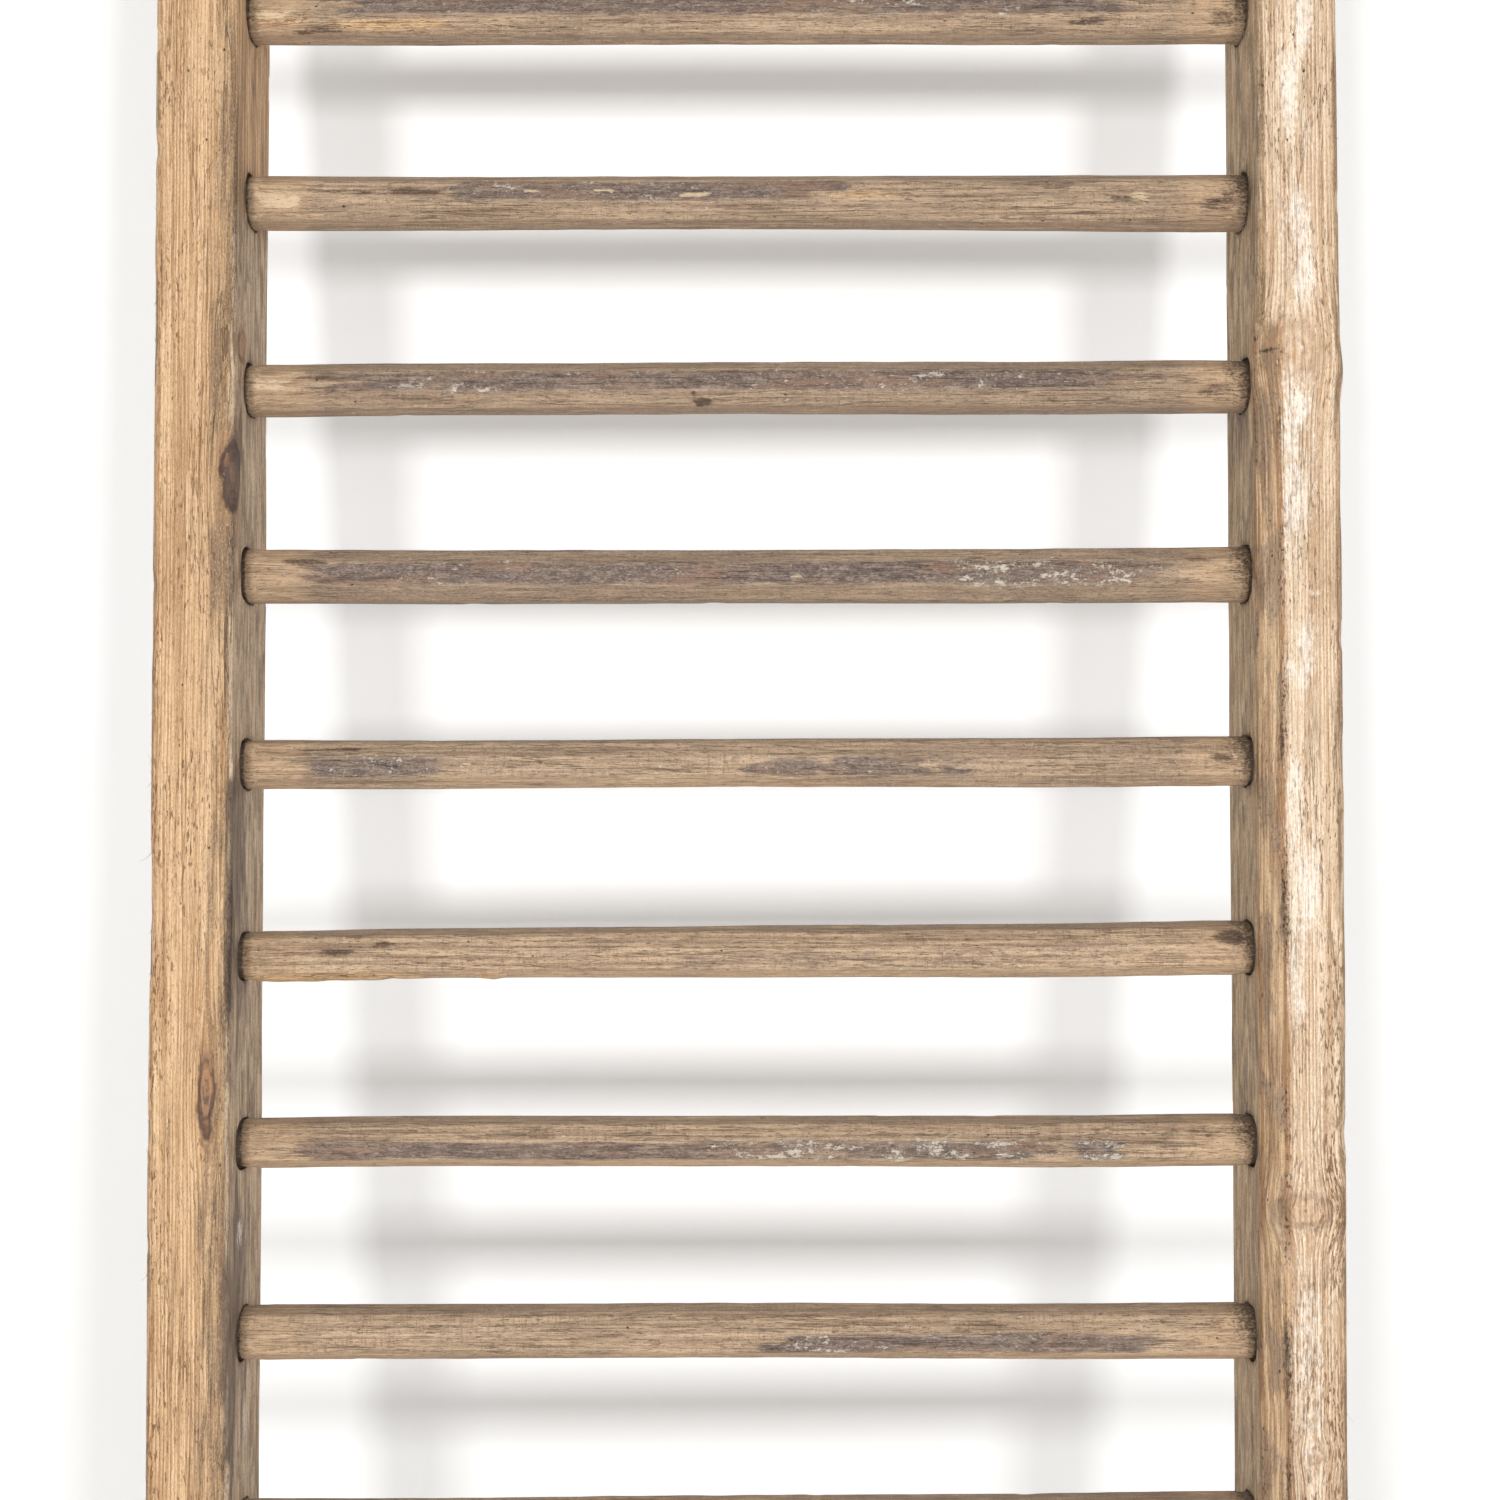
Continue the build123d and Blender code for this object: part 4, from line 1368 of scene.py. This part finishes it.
    def knotted(self, base, bark):
        """Knots: reddish wood with its own rings, darker in an old knot."""
        own_rings = self.math("SINE", self.knot_far * 17.0 + self.hairs * 4.0)
        young = self.mix(own_rings.step(-0.6, 1.0), (184, 146, 110), (156, 120, 90))
        old = self.mix(own_rings.step(-0.6, 1.0), (136, 103, 82), (78, 59, 54))
        old = self.mix(self.noise(260, 260, 75, 4.0, 0.7).step(0.48, 0.58) * 0.8, old, (158, 116, 84))
        knot_wood = self.mix(self.knot_dark.step(0.4, 0.9), young, old)
        return self.layers(
            base,
            (self.knot_edge.step(2.2, 1.0) * self.knot_dark * 0.40, (158, 118, 80)),
            (self.knot_edge.step(1.02, 0.88) * (self.knot_dark * 0.75 + 0.15), knot_wood),
            (bark, (66, 50, 44)),
        )

    def soiled(self, base, holes, lime):
        """Stains, then lime, then dirt and painted shade on top, and wormholes."""
        stain = (self.mark("stain") + (self.cloud - 0.5) * 1.3).step(0.25, 0.80)
        smear = (self.noise(900, 900, 45, 4.0, 0.72) + self.noise(480, 480, 240, 4.0, 0.70) - 1.0) * 2.2
        # The dirt mark also holds painted contact shade round the mortises.
        dirt = self.mark("dirt") + (self.grit - 0.5) * 1.4 + (self.streaks - 0.5) * 0.5
        return self.layers(
            base,
            (stain * 0.66, (84, 71, 64)),
            ((self.mark("wash") + smear).step(0.38, 1.30) * lime, (236, 226, 213)),
            (dirt.step(0.32, 0.96) * 0.88, (56, 44, 36)),
            (holes * 0.85, (48, 34, 24)),
        )


def softwood(name, early, late, side_tones, ring_width, lime):
    """A rail's wood, from the bare wood up to the dirt and painted shade."""
    s = Softwood(name)
    rings = s.late_wood(ring_width)
    flecks = s.flecks()
    bark = s.bark()
    holes = s.wormholes(95, 95, 60)
    base = s.sawn(rings, early, late)
    base = s.mix(s.math("MAXIMUM", flecks, s.splits * 0.6), base, (122, 88, 56))
    base = s.greyed(base, side_tones)
    base = s.waned(base)
    base = s.knotted(base, bark)
    base = s.soiled(base, holes, lime)
    height = s.fine * 0.55 + rings * 0.30 + s.hairs * 0.5
    height = height - flecks * 0.8 - s.splits * 0.8 - holes * 1.6 - bark * 0.6
    return s.finish(base, s.fine * 0.14 + 0.74, height, 0.0007)


class ShavedOak(Shade):
    """Hand-shaved oak; its noises run along the rung."""

    def __init__(self, name):
        super().__init__(name)
        self.fine = self.noise(50, 1500, 1500, 4.0, 0.70)
        self.patchy = self.noise(14, 70, 70, 4.0, 0.65)
        self.mottle = self.noise(430, 900, 900, 4.0, 0.75)
        self.grain = self.noise(42, 420, 420, 4.0, 0.68)
        self.crust = self.noise(110, 300, 300, 4.0, 0.68)
        self.pores = self.noise(170, 1500, 1500).step(0.60, 0.70)
        self.splits = self.cracks(8, 210, 210, 0.016) * self.noise(16, 90, 90).step(0.42, 0.58)

    def shaved(self):
        """Bare and greyed oak: long pores, rays, cracks and cross cuts."""
        streaks = self.noise(9, 480, 480, 4.0, 0.62)
        pepper = self.noise(1100, 1500, 1500, 3.0, 0.75)
        cross_cuts = self.noise(800, 110, 110).step(0.52, 0.64) * self.noise(20, 120, 120).step(0.42, 0.60)
        worn_grey = self.mix(self.mottle.step(0.38, 0.62), (108, 91, 78), (158, 139, 120))
        return self.layers(
            self.mix(streaks.step(0.38, 0.64), (206, 177, 145), (152, 125, 100)),
            (self.patchy.step(0.42, 0.66) * 0.45, (158, 134, 112)),
            (self.fine.step(0.50, 0.74) * 0.70, (104, 81, 62)),
            (self.fine.step(0.45, 0.26) * 0.45, (210, 186, 156)),
            (self.crust.step(0.52, 0.62) * 0.32, (124, 100, 80)),
            (self.crust.step(0.44, 0.36) * 0.30, (212, 186, 154)),
            (self.pores * 0.65, (80, 62, 50)),
            (pepper.step(0.50, 0.64) * 0.45, (104, 84, 68)),
            (pepper.step(0.46, 0.34) * 0.32, (216, 194, 166)),
            (cross_cuts * 0.45, (122, 99, 79)),
            (self.splits * (self.mark("dull") * 0.7 + 0.35), (84, 65, 52)),
            (self.mark("dull") * (self.grain.step(0.34, 0.60) * 0.55 + 0.50), worn_grey),
        )

    def toned(self, base):
        """Cleaner wood near the rails and on the tan facets; grey-brown dust, and painted shade on the
        facets turned away from the front, on the others.
        """
        clean_wood = self.mix(self.fine.step(0.42, 0.74), (210, 177, 140), (138, 106, 79))
        return self.layers(
            base,
            (self.mark("clean") * self.grain.step(0.30, 0.56) * 0.50, clean_wood),
            (self.mark("tan") * self.grain.step(0.36, 0.54) * 0.70, clean_wood),
            # Dust, and painted shade on the facets turned away from the front.
            (self.mark("above") * (self.grain.step(0.36, 0.60) * 0.50 + 0.30), (124, 104, 86)),
        )

    def handled(self, base):
        """Patina: dark, a little purple, broken up along the grain and worn pale on the ridges."""
        patina = self.mark("patina") + (self.grain - 0.5) * 1.5 + (self.mottle - 0.5) * 0.9
        skin = self.layers(
            self.mix(self.mottle.step(0.40, 0.60), (88, 75, 71), (142, 125, 114)),
            (self.crust.step(0.47, 0.58) * 0.65, (86, 72, 68)),
            (self.crust.step(0.43, 0.36) * 0.35, (166, 148, 132)),
            (self.fine.step(0.5, 0.72) * 0.50, (76, 63, 58)),
            (self.patchy.step(0.50, 0.64) * 0.50, (148, 114, 90)),
        )
        ridge = self.mark("ridge").step(0.25, 0.95) * self.grain.step(0.46, 0.56)
        return self.layers(
            base,
            (patina.step(0.24, 0.74) * 0.88, skin),
            (ridge * self.patchy.step(0.60, 0.40) * 0.60, (200, 176, 146)),
        )

    def damaged(self, base):
        """Torn wood, dark stains and pale chips."""
        broken = (self.grain - 0.5) * 1.9 + (self.mottle - 0.5) * 1.4
        torn_wood = self.mix(self.fine.step(0.40, 0.62), (214, 180, 138), (146, 110, 76))
        torn_wood = self.mix(self.splits * 0.8, torn_wood, (92, 66, 48))
        return self.layers(
            base,
            ((self.mark("torn") + broken).step(0.35, 0.75) * 0.88, torn_wood),
            ((self.mark("spot") + broken).step(0.30, 1.00) * 0.85, (68, 51, 43)),
            ((self.mark("chip") + broken * 0.6).step(0.40, 0.80) * 0.80, (216, 191, 158)),
        )

    def flakes(self):
        """Pale flakes and specks, in scattered groups."""
        groups = self.mark("flakes") * (self.noise(45, 140, 140).step(0.40, 0.60) * 0.85 + 0.15)
        specks = (self.noise(520, 900, 900, 4.0, 0.78) + groups * 0.11).step(0.62, 0.70)
        scabs = (self.noise(170, 330, 330, 4.0, 0.74) + groups * 0.14).step(0.64, 0.70)
        return self.math("MAXIMUM", specks, scabs * 0.8)


def shaved_oak(name):
    """A rung's wood, from the bare oak up to the dirt and painted shade."""
    s = ShavedOak(name)
    flakes = s.flakes()
    holes = s.wormholes(60, 110, 110)
    grit = s.noise(420, 700, 700, 4.0, 0.72)
    base = s.damaged(s.handled(s.toned(s.shaved())))
    base = s.layers(
        base,
        (flakes * 0.82, (212, 201, 186)),
        # Dirt, with painted shade at the rungs' ends by the rails.
        ((s.mark("dirt") + (grit - 0.5) * 1.5).step(0.42, 0.95) * 0.85, (54, 43, 36)),
        (holes * 0.85, (48, 36, 28)),
    )
    height = s.fine * 0.6 + s.mottle * 0.45 + flakes * 0.4
    height = height - s.pores * 0.5 - s.splits * 0.8 - holes * 1.6
    return s.finish(base, s.mottle * 0.22 + 0.62, height, 0.0007)


def hole_wall(name):
    """The dark inside of a bored hole: tool marks, old dirt and painted shade."""
    s = Shade(name)
    turned = s.noise(260, 120, 120, 3.0, 0.6)
    speckle = s.noise(700, 700, 700, 3.0, 0.7)
    # Painted shade with dirt: the hole's wall is dark brown, darker still in specks.
    base = s.mix(turned.step(0.35, 0.7), (74, 57, 44), (112, 88, 66))
    base = s.mix(speckle.step(0.5, 0.75) * 0.6, base, (46, 35, 28))
    return s.finish(base, speckle * 0.1 + 0.82, turned + speckle, 0.0005, 0.2)


def split_oak(name):
    """Wedges and pegs: end grain of split oak, greyed and bruised."""
    s = Shade(name)
    pores = s.noise(1500, 1500, 1500, 3.0, 0.6)
    lines = s.noise(160, 160, 900, 3.0, 0.6)
    base = s.mix(lines.step(0.35, 0.68), (176, 146, 114), (126, 102, 80))
    base = s.layers(
        base,
        (pores.step(0.52, 0.74) * 0.6, (82, 64, 50)),
        (s.noise(90, 90, 90, 3.0, 0.6).step(0.42, 0.72) * 0.5, (112, 98, 86)),
    )
    return s.finish(base, pores * 0.12 + 0.74, pores + lines, 0.0004)


def fibre(name, tone, shade):
    s = Shade(name)
    streak = s.noise(900, 900, 200)
    base = s.mix(streak.step(0.35, 0.65), tone, shade)
    return s.finish(base, streak * 0.1 + 0.78, streak, 0.0002)


# ---- Stage, light and camera ----
FLOOR_REACH = 8.0
WALL_REACH = 5.0
WALL_FOOT = 0.533
WALL_TOP = 3.0
WALL_LEAN = 0.1698

WORLD_STRENGTH = 0.65
SOFTBOX_PLACES = {"left": (-0.923, -3.80, 0.90), "right": (1.115, -3.80, 0.90)}
SOFTBOX_SIZE = 0.36
SOFTBOX_WATTS = 55.5

CAMERA_PLACE = (0.0019, -1.4532, 1.0409)
CAMERA_TILT = 1.87
LENS = 54.65
SENSOR = 36.0


def pale(name, level, one_sided=False):
    """A plain pale surface; a one-sided one can be seen through from behind."""
    s = Shade(name)
    tone = s.noise(0.7, 0.7, 0.7)
    base = s.mix(tone.step(0.3, 0.7), (level, level, level - 1), (level + 3, level + 3, level + 3))
    material = s.finish(base, 0.9, tone, 0.0001, 0.1)
    if one_sided:
        nodes, links = s.tree.nodes, s.tree.links
        output = nodes["Material Output"]
        wood = output.inputs["Surface"].links[0].from_socket
        chooser = nodes.new("ShaderNodeMixShader")
        links.new(nodes.new("ShaderNodeNewGeometry").outputs["Backfacing"], chooser.inputs[0])
        links.new(wood, chooser.inputs[1])
        links.new(nodes.new("ShaderNodeBsdfTransparent").outputs[0], chooser.inputs[2])
        links.new(chooser.outputs[0], output.inputs["Surface"])
    return material


def plane(name, corners, material):
    mesh = bpy.data.meshes.new(name)
    mesh.from_pydata(corners, [], [(0, 1, 2, 3)])
    mesh.materials.append(material)
    sheet = placed(name, mesh)


def make_stage():
    """A pale floor, and a pale wall leaning over the rack; the wall is seen from its front only."""
    corners = ((-1, -1), (1, -1), (1, 1), (-1, 1))
    plane("floor", [(x * FLOOR_REACH, y * FLOOR_REACH, 0) for x, y in corners], pale("floor", 238))
    top_y = WALL_FOOT - WALL_LEAN * WALL_TOP
    foot = [(-WALL_REACH, WALL_FOOT, 0), (WALL_REACH, WALL_FOOT, 0)]
    top = [(WALL_REACH, top_y, WALL_TOP), (-WALL_REACH, top_y, WALL_TOP)]
    plane("wall", foot + top, pale("wall", 245, one_sided=True))


def softbox(name, place):
    """A small square light, level, aimed at the rack's middle line."""
    data = bpy.data.lights.new(name, "AREA")
    data.shape = "SQUARE"
    data.size = SOFTBOX_SIZE
    data.energy = SOFTBOX_WATTS
    lamp = bpy.data.objects.new(name, data)
    bpy.context.scene.collection.objects.link(lamp)
    lamp.location = place
    aim = Vector((0, 0, place[2])) - lamp.location
    lamp.rotation_euler = aim.to_track_quat("-Z", "Y").to_euler()


def make_light():
    world = bpy.data.worlds.new("studio")
    world.use_nodes = True
    background = world.node_tree.nodes["Background"]
    background.inputs["Color"].default_value = (1.0, 1.0, 1.0, 1.0)
    background.inputs["Strength"].default_value = WORLD_STRENGTH
    bpy.context.scene.world = world
    for side, place in SOFTBOX_PLACES.items():
        softbox(f"softbox_{side}", place)
    bpy.context.scene.view_settings.view_transform = "Standard"


def make_camera():
    """Level with the rack's middle, looking up a little, a metre and a half in front."""
    data = bpy.data.cameras.new("camera")
    data.lens = LENS
    data.sensor_width = SENSOR
    data.clip_start = 0.01
    camera = bpy.data.objects.new("camera", data)
    bpy.context.scene.collection.objects.link(camera)
    camera.location = CAMERA_PLACE
    camera.rotation_euler = (math.radians(90 + CAMERA_TILT), 0, 0)
    bpy.context.scene.camera = camera


# ---- Build ----
bore_wood = hole_wall("bored_hole")
oak = shaved_oak("shaved_oak")
driven_oak = split_oak("split_oak")
rail_woods = {
    "left": softwood(
        "rail_left_wood", early=(221, 187, 148), late=(168, 130, 91),
        side_tones=((210, 186, 159), (166, 142, 118)), ring_width=2.2, lime=0.75,
    ),
    "right": softwood(
        "rail_right_wood", early=(228, 208, 181), late=(184, 148, 114),
        side_tones=((198, 168, 130), (160, 132, 100)), ring_width=2.1, lime=0.85,
    ),
}
fibres = {
    "left": fibre("rail_left_fibres", (206, 172, 130), (150, 116, 80)),
    "right": fibre("rail_right_fibres", (214, 184, 146), (160, 126, 90)),
}

for side in SIDES:
    make_rail(side, rail_woods[side], bore_wood)
    make_splinters(side, fibres[side])
    make_wedges(side, driven_oak)
for axis in AXES:
    make_rung(axis, oak, bore_wood)
for node in PEG_NODES:
    make_peg(node, driven_oak)

make_stage()
make_light()
make_camera()
